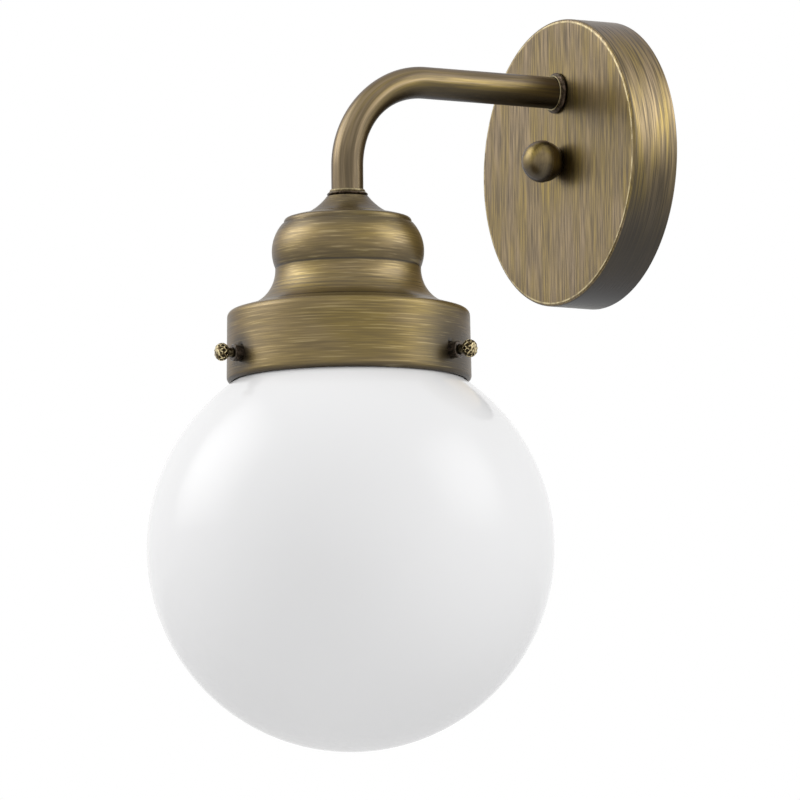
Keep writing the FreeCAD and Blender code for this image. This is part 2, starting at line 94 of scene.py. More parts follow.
CANOPY_RADIUS = half_width("canopy")
CANOPY_DEPTH = -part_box("canopy")[0].y
ARM_RISE = middle("canopy_ring").z
GLOBE_AXIS = Vector((0, middle("globe").y, 0))
GLOBE_RADIUS = half_width("globe")
GLOBE_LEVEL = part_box("globe")[0].z + GLOBE_RADIUS
LIP_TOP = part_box("globe")[1].z
TUBE_RADIUS = half_width("arm_tube")
TUBE_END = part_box("arm_tube")[0].z
RING_RADIUS = half_width("neck_ring")
NECK_RING_BASE, NECK_RING_TOP = (corner.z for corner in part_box("neck_ring"))
CAP_FOOT, CAP_TOP = (corner.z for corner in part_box("neck_cap"))
CAP_FOOT_RADIUS = half_width("neck_cap")
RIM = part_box("shade_holder")[0].z
RIM_RADIUS = half_width("shade_holder")
BALL_RADIUS = half_width("ball_nut")
BALL_CENTRE = -(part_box("ball_nut")[0].y + BALL_RADIUS)
BALL_SEAT = -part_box("ball_nut")[1].y
STUD_TIP = -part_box("center_stud")[0].y
STUD_RADIUS = half_width("center_stud")
NIPPLE_RADIUS = half_width("lower_nipple")
JOINT_WAYS = {joint["name"]: Vector(joint["axis"]) for joint in frame["joints"]}
SCREW_WAYS = {side: JOINT_WAYS[f"thumb_screw_{side}_slide"] for side in SIDES}
SCREW_LEVEL = middle("thumb_screw_front").z


# ---- small sizes that stay fixed ------------------------------------------------------------
HOLE_RADIUS = NIPPLE_RADIUS + 0.0002      # the holes that a nipple goes through
TUBE_GAP = 0.00025                        # between the tube and its seat in a ring
STUD_GAP = 0.00006                        # between the stud and the bore of the ball nut
STUD_ROOM = 0.0013                        # from the stud's tip to the end of that bore
SHANK_GAP = 0.00008                       # between a clamp screw and its bushing
TIP_GAP = 0.0003                          # between a clamp screw's tip and the globe's neck
DRILL_GAP = 0.00005                       # between a bushing's neck and its hole in the skirt
DRILL_BACK = 0.005                        # how far inside the rim's radius the drill starts
DRILL_DEPTH = 0.010
NIPPLE_WALL = 0.0017
HEAD_FACE = 0.72                          # radius of a screw head's face, as a share of the head's
BRUSH_PITCH = 0.0007                      # pitch of the brush lines
TURNED_PITCH = 0.0019                     # pitch of the lines that the spinning tool left
SCREW_SHADE_REACH = {"front": 0.015, "right": 0.032, "left": 0.022}      # reach of the painted shade and patina round a screw, widest on the right, where the skirt lies in shade
WALL_STRETCH = -GLOBE_AXIS.y - 0.010      # distance along the arm at which it darkens towards the wall


# ---- sizes and colours that a user would change ---------------------------------------------
def length(name, description, default):
    return FloatProperty(name=name, description=description, default=default, min=0.0, unit="LENGTH")


def angle(name, description, degrees):
    return FloatProperty(name=name, description=description, default=math.radians(degrees), subtype="ANGLE")


def share(name, description, default):
    return FloatProperty(name=name, description=description, default=default, min=0.0, max=1.0,
                         subtype="FACTOR")


def colour(name, description, default):
    return FloatVectorProperty(name=name, description=description, default=default, size=3,
                               min=0.0, max=1.0, subtype="COLOR")


class SCONCE_PG_wall(bpy.types.PropertyGroup):
    """Sizes of the canopy, the ball nut and the rings."""
    sheet: length("Sheet", "Thickness of the canopy's sheet", 0.0010)
    edge_round: length("Edge round", "Radius of the canopy's front edge", 0.0013)
    hem_width: length("Hem width", "Sheet turned in at the wall", 0.0024)
    hem_height: length("Hem height", "Thickness of the hem", 0.0016)
    ball_step: length("Ball step", "Step between the ball's two halves", 0.0003)
    ring_bead: length("Ring bead", "Width of a ring's rounded rim", 0.00115)
    ring_seat: length("Ring seat", "How far the tube sinks into a ring", 0.0015)
    ring_lip: length("Ring lip", "Width of the lip round the tube", 0.0005)
    thread_pitch: length("Thread pitch", "Pitch of the stud's thread", 0.0008)


class SCONCE_PG_arm(bpy.types.PropertyGroup):
    """Sizes of the bent arm."""
    bend_radius: length("Bend radius", "Radius of the bend on the tube's centre line", 0.040)
    wall: length("Tube wall", "Thickness of the tube's wall", 0.00175)
    flattening: share("Flattening", "How flat the bend is at its middle, in its plane", 0.07)
    spread: share("Spread", "How much wider the bend is at its middle, across its plane", 0.02)
    nipple_pitch: length("Nipple pitch", "Pitch of the nipples' thread", 0.00094)


class SCONCE_PG_holder(bpy.types.PropertyGroup):
    """Sizes of the spun holder and its cone."""
    sheet: length("Sheet", "Thickness of the spun sheet", 0.0011)
    curl: length("Rim curl", "Radius of the rolled-in rim", 0.0024)
    curl_angle: angle("Curl angle", "How far the rim rolls in", 75.0)
    taper: length("Skirt taper", "How much smaller the skirt's top is", 0.0004)
    skirt: length("Skirt height", "Rim to the start of the shoulder", 0.0288)
    shoulder: length("Shoulder round", "Radius of the shoulder's corner", 0.0030)
    slope: angle("Shoulder slope", "Slope of the shoulder", 16.0)
    waist: length("Waist radius", "Radius of the waist", 0.0320)
    sweep: length("Sweep radius", "Radius of the hollow sweep under the waist", 0.0170)
    groove: length("Groove width", "Straight stretch under the bulge", 0.00075)
    swell: length("Bulge swell", "How far the bulge stands out of the waist", 0.00145)
    bulge: length("Bulge curve", "Radius of the bulge's outline", 0.0183)
    bulge_rise: length("Bulge rise", "Widest point of the bulge to its top", 0.0120)
    ledge: length("Ledge", "Width of the ledge over the bulge", 0.00087)
    step: length("Step", "Height of the step over the ledge", 0.0009)
    dome_round: length("Dome round", "Radius of the dome's edge", 0.0020)
    cone_sag: length("Cone sag", "How far the cone's flank bows in", 0.00065)
    cone_lip: length("Cone lip", "Upright edge at the cone's foot", 0.0003)
    cone_sheet: length("Cone sheet", "Thickness of the cone's sheet", 0.0009)


class SCONCE_PG_screws(bpy.types.PropertyGroup):
    """Sizes of the clamp screws and their bushings."""
    shank: length("Shank radius", "Radius of the shank", 0.00205)
    head: length("Head radius", "Radius of the head", 0.0040)
    head_height: length("Head height", "Height of the head", 0.0046)
    stand_off: length("Stand off", "Shank between the bushing and the head", 0.0029)
    pits: IntProperty(name="Pits", description="Pits in each row round a head", default=9, min=5)
    pit_depth: length("Pit depth", "Depth of the pits that leave the diamond pattern", 0.00045)
    bushing: length("Bushing radius", "Radius of a bushing", 0.0037)
    bushing_length: length("Bushing length", "Bushing outside the skirt", 0.0039)
    bushing_neck: length("Bushing neck", "Radius of a bushing in the skirt", 0.00295)
    clench: length("Clench radius", "Radius of the flange inside the skirt", 0.0046)
    clench_height: length("Clench height", "Thickness of that flange", 0.0007)


class SCONCE_PG_globe(bpy.types.PropertyGroup):
    """Sizes of the glass globe."""
    glass: length("Glass", "Thickness of the glass", 0.0030)
    lip_overhang: length("Lip overhang", "How far the lip stands out of the neck", 0.0032)
    lip_height: length("Lip height", "Height of the lip", 0.0052)
    lip_clearance: length("Lip clearance", "Room between the lip and the skirt", 0.0024)
    fillet: length("Neck fillet", "Fillet between the ball and its neck", 0.0035)


class SCONCE_PG_colours(bpy.types.PropertyGroup):
    """Colours of the finishes."""
    gold: colour("Gold", "Rubbed brass", (0.285, 0.200, 0.035))
    taupe: colour("Taupe", "Greyed brass", (0.290, 0.212, 0.122))
    umber: colour("Umber", "Brown patina between the brush lines", (0.075, 0.050, 0.018))
    # Near-black that the painted shade on undersides, corners, the dome and the screw pits runs to; also real
    # patina and blackening.
    near_black_shade_and_patina: colour("Soot", "Nearly black patina in corners", (0.022, 0.016, 0.009))
    # Bright brass at worn edges, and also the colour of painted highlights: the canopy's edge line, the line
    # under the bell's crease, the rings' lips and the glints on the screw heads.
    worn: colour("Worn edge", "Bright brass at worn edges", (0.62, 0.52, 0.30))
    bronze: colour("Bronze", "Dark rings", (0.085, 0.060, 0.042))
    opal: colour("Opal glass", "White glass", (0.84, 0.84, 0.845))
    zinc: colour("Zinc", "Zinc plated steel", (0.52, 0.53, 0.52))
    earth_green: colour("Earth green", "Green plating of the earth screw", (0.03, 0.16, 0.06))
    nickel: colour("Nickel", "Nickel plated brass", (0.56, 0.53, 0.47))
    porcelain: colour("Porcelain", "Glazed porcelain", (0.78, 0.76, 0.70))
    contact: colour("Contact brass", "Bright brass contacts", (0.66, 0.47, 0.17))


class SCONCE_PG_stage(bpy.types.PropertyGroup):
    """The floor, the light and the camera."""
    floor_level: FloatProperty(name="Floor level", description="Height of the floor", default=-1.75,
                               unit="LENGTH")
    floor_grey: share("Floor grey", "Paleness of the floor", 0.80)
    floor_white: share("Floor white", "How far the floor looks as white as the background", 0.72)
    ambient: share("Ambient", "Strength of the world's light on matt surfaces", 0.58)


class SCONCE_PG_settings(bpy.types.PropertyGroup):
    """All settings of the sconce."""
    wall: PointerProperty(type=SCONCE_PG_wall)
    arm: PointerProperty(type=SCONCE_PG_arm)
    holder: PointerProperty(type=SCONCE_PG_holder)
    screws: PointerProperty(type=SCONCE_PG_screws)
    globe: PointerProperty(type=SCONCE_PG_globe)
    colours: PointerProperty(type=SCONCE_PG_colours)
    stage: PointerProperty(type=SCONCE_PG_stage)


# ---- node wiring ----------------------------------------------------------------------------
def math_method(operation, signal_last=False):
    """An operator that adds a Math node, with the signal as its first or its last term."""
    def method(signal, other):
        terms = (other, signal) if signal_last else (signal, other)
        return signal.wires.maths(operation, *terms)
    return method


class Signal:
    """A socket that takes part in ordinary arithmetic, each operation adding a Math node."""
    __add__ = math_method("ADD")
    __sub__ = math_method("SUBTRACT")
    __mul__ = math_method("MULTIPLY")
    __truediv__ = math_method("DIVIDE")
    __pow__ = math_method("POWER")
    __mod__ = math_method("FLOORED_MODULO")
    __radd__ = math_method("ADD", signal_last=True)
    __rsub__ = math_method("SUBTRACT", signal_last=True)
    __rmul__ = math_method("MULTIPLY", signal_last=True)

    def __init__(self, wires, socket):
        self.wires = wires
        self.socket = socket

    def __neg__(self):
        return self * -1.0

    def __abs__(self):
        return self.wires.maths("ABSOLUTE", self)


class Wires:
    """Builds one node tree."""

    def __init__(self, tree):
        self.tree = tree

    def node(self, kind, settings=None, values=None, output=0):
        """Adds a node: its settings first, then the values or links of its sockets."""
        made = self.tree.nodes.new(kind)
        for key, value in (settings or {}).items():
            setattr(made, key, value)
        for key, value in (values or {}).items():
            if isinstance(value, Signal):
                self.tree.links.new(value.socket, made.inputs[key])
            else:
                made.inputs[key].default_value = value
        return Signal(self, made.outputs[output]) if made.outputs else made

    def maths(self, operation, *terms):
        return self.node("ShaderNodeMath", {"operation": operation}, dict(enumerate(terms)))

    def root(self, value):
        return self.maths("SQRT", value)

    def highest(self, *values):
        top = values[0]
        for value in values[1:]:
            top = self.maths("MAXIMUM", top, value)
        return top

    def lowest(self, a, b):
        return self.maths("MINIMUM", a, b)

    def from_axis(self, a, b):
        """Distance from an axis, kept above 0 because others are divided by it."""
        return self.highest(self.root(a * a + b * b), 1e-6)

    def rise(self, value, low, high):
        """0 below low, 1 above high, smooth in between; it falls where low is above high."""
        return self.node("ShaderNodeMapRange", {"interpolation_type": "SMOOTHSTEP"},
                         {"Value": value, "From Min": low, "From Max": high})

    def hill(self, value, centre, spread):
        """1 at the centre, 0 further away than the spread."""
        return self.rise(abs(value - centre), spread, 0.0)

    def vector(self, x, y, z):
        return self.node("ShaderNodeCombineXYZ", None, {0: x, 1: y, 2: z})

    def parts(self, vector):
        """The three numbers of a vector."""
        made = self.node("ShaderNodeSeparateXYZ", None, {0: vector})
        return [Signal(self, made.socket.node.outputs[i]) for i in range(3)]

    def distance(self, a, b):
        return self.node("ShaderNodeVectorMath", {"operation": "DISTANCE"}, {0: a, 1: b}, 1)

    def noise(self, vector, detail=2.0, roughness=0.5, scale=1.0):
        return self.node("ShaderNodeTexNoise", None,
                         {"Vector": vector, "Scale": scale, "Detail": detail, "Roughness": roughness})

    def grain(self, scale, detail=3.0):
        """Noise in the piece's own place."""
        return self.noise(self.object_place(), detail=detail, scale=scale)

    def attribute(self, name, output=2):
        """A named value of the piece: a number, or with output 1 a vector."""
        return self.node("ShaderNodeAttribute", {"attribute_name": name}, None, output)

    def mix(self, factor, a, b):
        """Mixes two colours."""
        shades = [value if isinstance(value, Signal) else (*value, 1.0) for value in (a, b)]
        return self.node("ShaderNodeMix", {"data_type": "RGBA", "clamp_factor": True},
                         {0: factor, 6: shades[0], 7: shades[1]}, 2)

    def clouded(self, noise, tone, share):
        """A colour that noise darkens to a share of itself."""
        return self.mix(noise, tone, [part * share for part in tone])

    def mix_shaders(self, factor, a, b):
        return self.node("ShaderNodeMixShader", None, {0: factor, 1: a, 2: b})

    def object_place(self, shift=ORIGIN):
        """Object coordinates, measured from a point of the piece."""
        place = self.node("ShaderNodeTexCoord", None, None, 3)
        return self.node("ShaderNodeMapping", None, {"Vector": place, "Location": -Vector(shift)})

    def bump(self, height, strength, distance):
        return self.node("ShaderNodeBump", None,
                         {"Height": height, "Strength": strength, "Distance": distance})


def new_material(name):
    material = bpy.data.materials.new(f"{name}_finish")
    material.use_nodes = True
    material.node_tree.nodes.clear()
    return material, Wires(material.node_tree)


def surface(wires, **values):
    """Ends a material in one Principled shader; names with _ stand for the shader's names with a space."""
    shader = wires.node("ShaderNodeBsdfPrincipled", None,
                        {key.replace("_", " "): value for key, value in values.items()})
    wires.node("ShaderNodeOutputMaterial", None, {"Surface": shader})


# ---- finishes -------------------------------------------------------------------------------
def streaks(wires, x, y, z, detail=2.0):
    """Brush lines from 0 to 1: noise that the place stretches along the brushing."""
    return wires.rise(wires.noise(wires.vector(x, y, z), detail=detail, roughness=0.6), 0.32, 0.68)


def patches(wires, place, scale=1.0, detail=2.0):
    """Soft patches from 0 to 1."""
    return wires.rise(wires.noise(place, detail=detail, scale=scale), 0.36, 0.64)


def antique(wires, lines, gilt, shades, dark, bright):
    """The colour of antique brass from its brush lines, gold patches, dark places and bright places: the dark
    places are painted shade and patina, the bright ones worn edges and painted highlights.
    """
    body = wires.mix(gilt, shades.taupe, shades.gold)
    brushed = wires.mix(lines, shades.umber, body)
    aged = wires.mix(dark, brushed, shades.near_black_shade_and_patina)
    return wires.mix(bright, aged, shades.worn)


EDGE_TINT = (0.20, 0.17, 0.12, 1.0)


def lacquered(wires, tone, roughness, lines, depth):
    """Ends a finish of brushed brass under a thin clear lacquer."""
    surface(wires, Base_Color=tone, Metallic=1.0, Roughness=roughness, Specular_Tint=EDGE_TINT,
            Normal=wires.bump(lines, depth, 0.0001), Coat_Weight=0.8, Coat_Roughness=0.34, Coat_IOR=1.5)


def underneath(wires, low=-0.75, high=0.25):
    """1 where a surface faces down, 0 where it faces up or sideways: the mask of painted shade on undersides.
    """
    facing = wires.node("ShaderNodeTexCoord", None, None, 1)
    return wires.rise(wires.parts(facing)[2], high, low)


def finish_plate_brass(wires, shades):
    """The canopy: brushed upright on its face and inside, and lengthwise round its rim, with painted shade on
    the rim's underside and just behind the face's edge.
    """
    place = wires.object_place()
    x, y, z = wires.parts(place)
    radius = wires.from_axis(x, z)
    turn_x, turn_z = x / radius, z / radius
    depth = -y
    on_face = wires.rise(depth, CANOPY_DEPTH - 0.0009, CANOPY_DEPTH - 0.0003)
    flat = wires.highest(on_face, wires.rise(radius, CANOPY_RADIUS - 0.0016, CANOPY_RADIUS - 0.0024))
    lines = (streaks(wires, x / BRUSH_PITCH, z / 0.022, 0.0) * flat
             + streaks(wires, turn_x * 2.4, turn_z * 2.4, y / BRUSH_PITCH) * (1 - flat))
    bands = (patches(wires, wires.vector(x / 0.007, z / 0.050, 4.0), detail=1.0) * flat
             + patches(wires, wires.vector(turn_x * 2, turn_z * 2, y / 0.006), detail=1.0) * (1 - flat))
    from_arm = wires.root(x * x + (z - ARM_RISE) * (z - ARM_RISE))
    rubbed = wires.highest(wires.rise(from_arm, 0.030, 0.010), wires.rise(radius, 0.026, 0.010)) * on_face
    gilt = wires.lowest(bands * 0.6 + patches(wires, place, 22.0) * 0.3 + rubbed * 0.3, 1.0)
    # painted shade: a thin dark line on the rim just behind the face's edge, and the rim's underside
    painted_edge_shade = wires.hill(depth, CANOPY_DEPTH - 0.0014, 0.0005) * 0.8
    dark = wires.highest(painted_edge_shade, underneath(wires, -0.70, 0.20) * (1 - flat) * 0.95)
    chips = wires.rise(wires.noise(wires.vector(x / 0.004, z / 0.004, 9.0), detail=2.0), 0.40, 0.60)
    # a bright line along the face's edge, broken by chips: wear and a painted highlight
    worn = wires.hill(radius, CANOPY_RADIUS - 0.0013, 0.0006) * on_face * (0.25 + chips * 0.6)
    tone = antique(wires, lines * 0.85 + 0.04, gilt, shades, dark, worn)
    lacquered(wires, tone, 0.46 - lines * 0.10, lines, 0.35)


def finish_spun_brass(wires, shades):
    """The bell and its cone: lathe lines round them, dark in the grooves with patina and painted shade, with
    painted shade at the crease over the sweep, on the dome, round the screws and underneath, and a painted
    highlight under the crease.
    """
    place = wires.object_place(GLOBE_AXIS)
    x, y, z = wires.parts(place)
    radius = wires.from_axis(x, y)
    turn_x, turn_y = x / radius, y / radius
    across = z - radius * 0.8
    lines = streaks(wires, turn_x * 2.1, turn_y * 2.1, across / BRUSH_PITCH)
    bands = patches(wires, wires.vector(turn_x * 1.2, turn_y * 1.2, across / 0.006), detail=1.0)
    gilt = bands * 0.2 + patches(wires, place, 26.0) * 0.4 + 0.4
    sizes = bpy.context.scene.sconce.holder
    foot = sweep_foot(sizes)[1]
    groove = waist_level(sizes) + sizes.groove
    turned = wires.rise(wires.maths("SINE", z * (2 * math.pi / TURNED_PITCH) + bands * 2), 0.3, 1.0)
    screw_shades = [wires.rise(wires.distance(place, way * RIM_RADIUS + UP * SCREW_LEVEL), SCREW_SHADE_REACH[side], 0.004)
             for side, way in SCREW_WAYS.items()]
    # patina and painted shade in the groove under the bulge; painted shade at the crease over the sweep, on
    # the dome, round the screws and underneath; the turned lines are tool marks
    dark = wires.highest(
        wires.hill(z, groove, 0.0012) * 0.85,
        wires.hill(z, foot + 0.0007, 0.0005) * 0.7,
        turned * wires.hill(z, foot + 0.0070, 0.0080) * 0.45,
        wires.rise(z, CAP_FOOT - 0.0058, CAP_FOOT - 0.0040) * 0.35,
        wires.hill(z, CAP_FOOT - 0.0050, 0.0060) * 0.5,
        wires.highest(*screw_shades) * 0.8,
        underneath(wires) * 0.7)
    # the brightest brush lines are wear; the bright line just under the crease is a painted highlight
    worn = wires.highest(wires.rise(lines, 0.86, 1.0) * 0.15, wires.hill(z, foot - 0.0003, 0.0004) * 0.4)
    tone = antique(wires, lines * 0.40 + 0.35, gilt, shades, dark, worn)
    lacquered(wires, tone, 0.50 - lines * 0.08, lines, 0.2)


def finish_arm_brass(wires, shades):
    """The arm: satin brass with faint lines along it, with painted shade underneath and on the low upright,
    and darker towards the wall.
    """
    run = wires.attribute("run", 1)
    across, outward, along = wires.parts(run)
    lines = streaks(wires, across * 5.0, outward * 5.0, along / 0.030)
    upward = outward * wires.maths("SINE", wires.attribute("turn"))
    # painted shade on the underside, and darker towards the wall
    dark = wires.highest(wires.rise(upward, 0.15, -0.75) * 0.85,
                         wires.rise(along, WALL_STRETCH, WALL_STRETCH + 0.025) * 0.6)
    # painted shade: the low upright, near the bell, is less gold and its lines darker
    upright = wires.rise(along, 0.060, 0.015)
    gilt = patches(wires, run, 3.0) * (1 - upright * 0.8)
    tone = antique(wires, lines * 0.5 + 0.20 - upright * 0.1, gilt, shades, dark, 0.0)
    lacquered(wires, tone, 0.42 - lines * 0.06, lines, 0.10)


def finish_satin_brass(wires, shades):
    """The ball nut: mottled satin brass with turned lines, with painted shade on its back half and underside.
    """
    place = wires.object_place()
    x, y, z = wires.parts(place)
    lines = streaks(wires, x * 60.0, y / BRUSH_PITCH, z * 60.0)
    mottle = patches(wires, place, 150.0, 3.0)
    # painted shade: darker over the back half, towards the canopy, and underneath
    back = wires.rise(-y, BALL_CENTRE + 0.001, BALL_SEAT) * 0.7
    dark = wires.highest(back, underneath(wires, -0.9, 0.4) * 0.8)
    gilt = patches(wires, place, 90.0) * 0.6 + 0.4
    tone = antique(wires, lines * 0.3 + mottle * 0.4 + 0.15, gilt, shades, dark, 0.0)
    lacquered(wires, tone, 0.34 + mottle * 0.08, lines, 0.10)


def finish_dark_bronze(wires, shades):
    """The rings: dark, with a faint grain, and bright where their points are marked as worn: wear with a
    painted highlight on the lip.
    """
    grain = wires.grain(900.0)
    bare = wires.mix(wires.rise(grain, 0.35, 0.7), shades.near_black_shade_and_patina, shades.bronze)
    tone = wires.mix(wires.attribute("worn") * (0.15 + grain * 0.5), bare, shades.worn)
    surface(wires, Base_Color=tone, Metallic=1.0, Roughness=0.30 + grain * 0.12,
            Normal=wires.bump(grain, 0.08, 0.0001))


def finish_blackened_brass(wires, shades):
    """The bushings: blackened, with brown worn through."""
    grain = wires.grain(700.0)
    tone = wires.mix(wires.rise(grain, 0.35, 0.65), shades.near_black_shade_and_patina, shades.bronze)
    surface(wires, Base_Color=tone, Metallic=1.0, Roughness=0.26 + grain * 0.15, Coat_Weight=0.5,
            Coat_Roughness=0.2)


def finish_screw_brass(wires, shades):
    """The clamp screws: rubbed bright on the ridges of the knurl, with painted glints, and nearly black in
    its pits and on the shank, as patina and painted shade.
    """
    grain = wires.grain(900.0, 2.0)
    ridge = wires.mix(wires.rise(grain, 0.40, 0.60), shades.umber, shades.worn)
    tone = wires.mix(wires.rise(wires.attribute("groove"), 0.05, 0.5), ridge, shades.near_black_shade_and_patina)
    surface(wires, Base_Color=tone, Metallic=1.0, Roughness=0.14 + grain * 0.08)


def finish_opal_glass(wires, shades):
    """The globe: glossy white glass, a little uneven as blown glass is."""
    cloud = wires.grain(9.0, 2.0)
    surface(wires, Base_Color=wires.clouded(cloud, shades.opal, 0.985), Roughness=0.10 + cloud * 0.04,
            Normal=wires.bump(wires.grain(22.0, 1.0), 0.03, 0.001), IOR=1.5, Specular_IOR_Level=0.2)


def finish_porcelain(wires, shades):
    """The socket's barrel: glazed, with faint specks."""
    speck = wires.grain(300.0, 2.0)
    surface(wires, Base_Color=wires.clouded(speck, shades.porcelain, 0.93), Roughness=0.16 + speck * 0.08,
            IOR=1.5)


def plated(colour_name, spangle, roughness):
    """A finish of plated metal with a fine spangle, which darkens it to a share of its colour."""
    def finish_plated(wires, shades):
        grain = wires.grain(420.0)
        tone = wires.clouded(grain, getattr(shades, colour_name), spangle)
        surface(wires, Base_Color=tone, Metallic=1.0, Roughness=roughness + grain * 0.1,
                Normal=wires.bump(grain, 0.05, 0.0001))
    return finish_plated


FINISHES = {
    "plate_brass": finish_plate_brass,
    "spun_brass": finish_spun_brass,
    "arm_brass": finish_arm_brass,
    "satin_brass": finish_satin_brass,
    "dark_bronze": finish_dark_bronze,
    "blackened_brass": finish_blackened_brass,
    "screw_brass": finish_screw_brass,
    "opal_glass": finish_opal_glass,
    "porcelain": finish_porcelain,
    "zinc_steel": plated("zinc", 0.72, 0.30),
    "green_screw": plated("earth_green", 0.6, 0.34),
    "nickel": plated("nickel", 0.85, 0.18),
    "contact_brass": plated("contact", 0.8, 0.22),
}


def finish(name):
    """The finish of that name, made when it is first asked for."""
    material = bpy.data.materials.get(f"{name}_finish")
    if not material:
        material, wires = new_material(name)
        FINISHES[name](wires, bpy.context.scene.sconce.colours)
    return material


# ---- outlines: lists of (radius, height) ------------------------------------------------------
def arc(centre, radius, first, last, step=5.0):
    """Points of an arc about centre, from one angle to another, in degrees."""
    count = max(2, math.ceil(abs(last - first) / step))
    turns = [math.radians(first + (last - first) * i / count) for i in range(count + 1)]
    return [(centre[0] + radius * math.cos(t), centre[1] + radius * math.sin(t)) for t in turns]


def bow(a, b, sag, count=10):
    """Points from a to b that bow to the left of the way by sag."""
    way = (b[0] - a[0], b[1] - a[1])
    span = math.hypot(*way)
    left = (-way[1] / span, way[0] / span)
    points = []
    for i in range(count + 1):
        t = i / count
        lift = sag * 4 * t * (1 - t)
        points.append((a[0] + way[0] * t + left[0] * lift, a[1] + way[1] * t + left[1] * lift))
    return points


def straight(a, b, count):
    return [(a[0] + (b[0] - a[0]) * i / count, a[1] + (b[1] - a[1]) * i / count) for i in range(count + 1)]


def joined(*stretches):
    """One outline from its stretches, without doubled points."""
    points = []
    for stretch in stretches:
        for point in stretch:
            if not points or math.dist(points[-1], point) > 1e-6:
                points.append(point)
    return points


def inner_side(outline, sheet):
    """The outline's offset to its left by the sheet, without the points that cross over at its corners."""
    kept = []
    for i, point in enumerate(outline):
        before = outline[max(i - 1, 0)]
        after = outline[min(i + 1, len(outline) - 1)]
        out, up = after[0] - before[0], after[1] - before[1]
        span = math.hypot(out, up)
        shifted = (point[0] - up / span * sheet, point[1] + out / span * sheet)
        if min(math.dist(shifted, other) for other in outline) > sheet * 0.97:
            kept.append(shifted)
    return kept


# ---- meshes ---------------------------------------------------------------------------------
def new_piece(name, mesh):
    piece = bpy.data.objects.new(name, mesh)
    bpy.context.scene.collection.objects.link(piece)
    return piece


def smooth_with_edges(made, crease=math.radians(32)):
    """Smooth faces, with the edges sharper than the crease kept sharp."""
    for face in made.faces:
        face.smooth = True
    for edge in made.edges:
        edge.smooth = len(edge.link_faces) != 2 or edge.calc_face_angle(0.0) < crease


def lathe(name, outline, closed=False, segments=192):
    """Turns an outline of (radius, height) points about Z. A closed outline makes a hollow ring."""
    made = bmesh.new()
    rows = []
    for radius, height in outline:
        if radius < 1e-7:
            rows.append([made.verts.new((0.0, 0.0, height))])
        else:
            turns = (2 * math.pi * i / segments for i in range(segments))
            rows.append([made.verts.new((radius * math.cos(t), radius * math.sin(t), height)) for t in turns])
    pairs = list(zip(rows, rows[1:]))
    if closed:
        pairs.append((rows[-1], rows[0]))
    for low, high in pairs:
        for i in range(segments):
            corners = [row[j % len(row)] for row, j in ((low, i), (low, i + 1), (high, i + 1), (high, i))]
            made.faces.new(dict.fromkeys(corners))
    bmesh.ops.recalc_face_normals(made, faces=made.faces)
    smooth_with_edges(made)
    mesh = bpy.data.meshes.new(name)
    made.to_mesh(mesh)
    made.free()
    return new_piece(name, mesh)


def place(piece, origin, way=UP):
    """Turns a piece made along +Z to point along way and moves it, all in its mesh."""
    piece.data.transform(Matrix.Translation(origin) @ UP.rotation_difference(way).to_matrix().to_4x4())
    return piece


def plain_mesh(piece):
    """Turns a piece and its modifiers into one plain mesh."""
    graph = bpy.context.evaluated_depsgraph_get()
    graph.update()
    piece.data = bpy.data.meshes.new_from_object(piece.evaluated_get(graph), preserve_all_data_layers=True,
                                                 depsgraph=graph)
    piece.modifiers.clear()
    return piece


def grow(piece, tree, sizes):
    """Runs a geometry tree on a piece with its inputs set, and keeps the result as a plain mesh."""
    modifier = piece.modifiers.new(tree.name, "NODES")
    modifier.node_group = tree
    for item in tree.interface.items_tree:
        if item.item_type == "SOCKET" and item.in_out == "INPUT" and item.name in sizes:
            modifier[item.identifier] = sizes[item.name]
    return plain_mesh(piece)


def drill(piece, radius, start, way, depth):
    """Drills a round hole into a piece along way."""
    bit = place(lathe("drill_bit", [(0.0, 0.0), (radius, 0.0), (radius, depth), (0.0, depth)], segments=48),
                start, way)
    hole = piece.modifiers.new("hole", "BOOLEAN")
    hole.operation = "DIFFERENCE"
    hole.solver = "EXACT"
    hole.object = bit
    plain_mesh(piece)
    bpy.data.objects.remove(bit)


def settle(piece, node, body, slot):
    """Gives a piece its finish and its body, and hides the node that it stands for."""
    if not piece.data.materials:
        piece.data.materials.append(finish(slot))
    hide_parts(node)
    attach(piece, body)


def dress(node, slot):
    """Gives a CAD node its finish."""
    solid = frame["nodes"][node]
    if not solid.material_slots:
        solid.data.materials.append(None)
    for place_for_material in solid.material_slots:
        place_for_material.material = finish(slot)


# ---- geometry trees ---------------------------------------------------------------------------
def new_tree(name, inputs):
    """A geometry tree with its named inputs; returns its wires and those inputs."""
    tree = bpy.data.node_groups.new(name, "GeometryNodeTree")
    tree.interface.new_socket("Geometry", in_out="INPUT", socket_type="NodeSocketGeometry")
    tree.interface.new_socket("Geometry", in_out="OUTPUT", socket_type="NodeSocketGeometry")
    for label, kind in inputs.items():
        tree.interface.new_socket(label, in_out="INPUT", socket_type=kind)
    wires = Wires(tree)
    start = tree.nodes.new("NodeGroupInput")
    given = {socket.name: Signal(wires, socket) for socket in start.outputs if socket.name}
    return wires, given


def end_tree(wires, geometry, material):
    """Ends a tree in Realize Instances and Set Material."""
    whole = wires.node("GeometryNodeRealizeInstances", None, {"Geometry": geometry})
    finished = wires.node("GeometryNodeSetMaterial", None, {"Geometry": whole, "Material": material})
    wires.node("NodeGroupOutput", None, {0: finished})
    return wires.tree


def store(wires, geometry, name, kind, value):
    """Keeps a value on the points under a name."""
    return wires.node("GeometryNodeStoreNamedAttribute", {"data_type": kind, "domain": "POINT"},
                      {"Geometry": geometry, "Name": name, "Value": value})


def kept(wires, name, kind):
    """The value that the points keep under a name."""
    return wires.node("GeometryNodeInputNamedAttribute", {"data_type": kind}, {"Name": name})


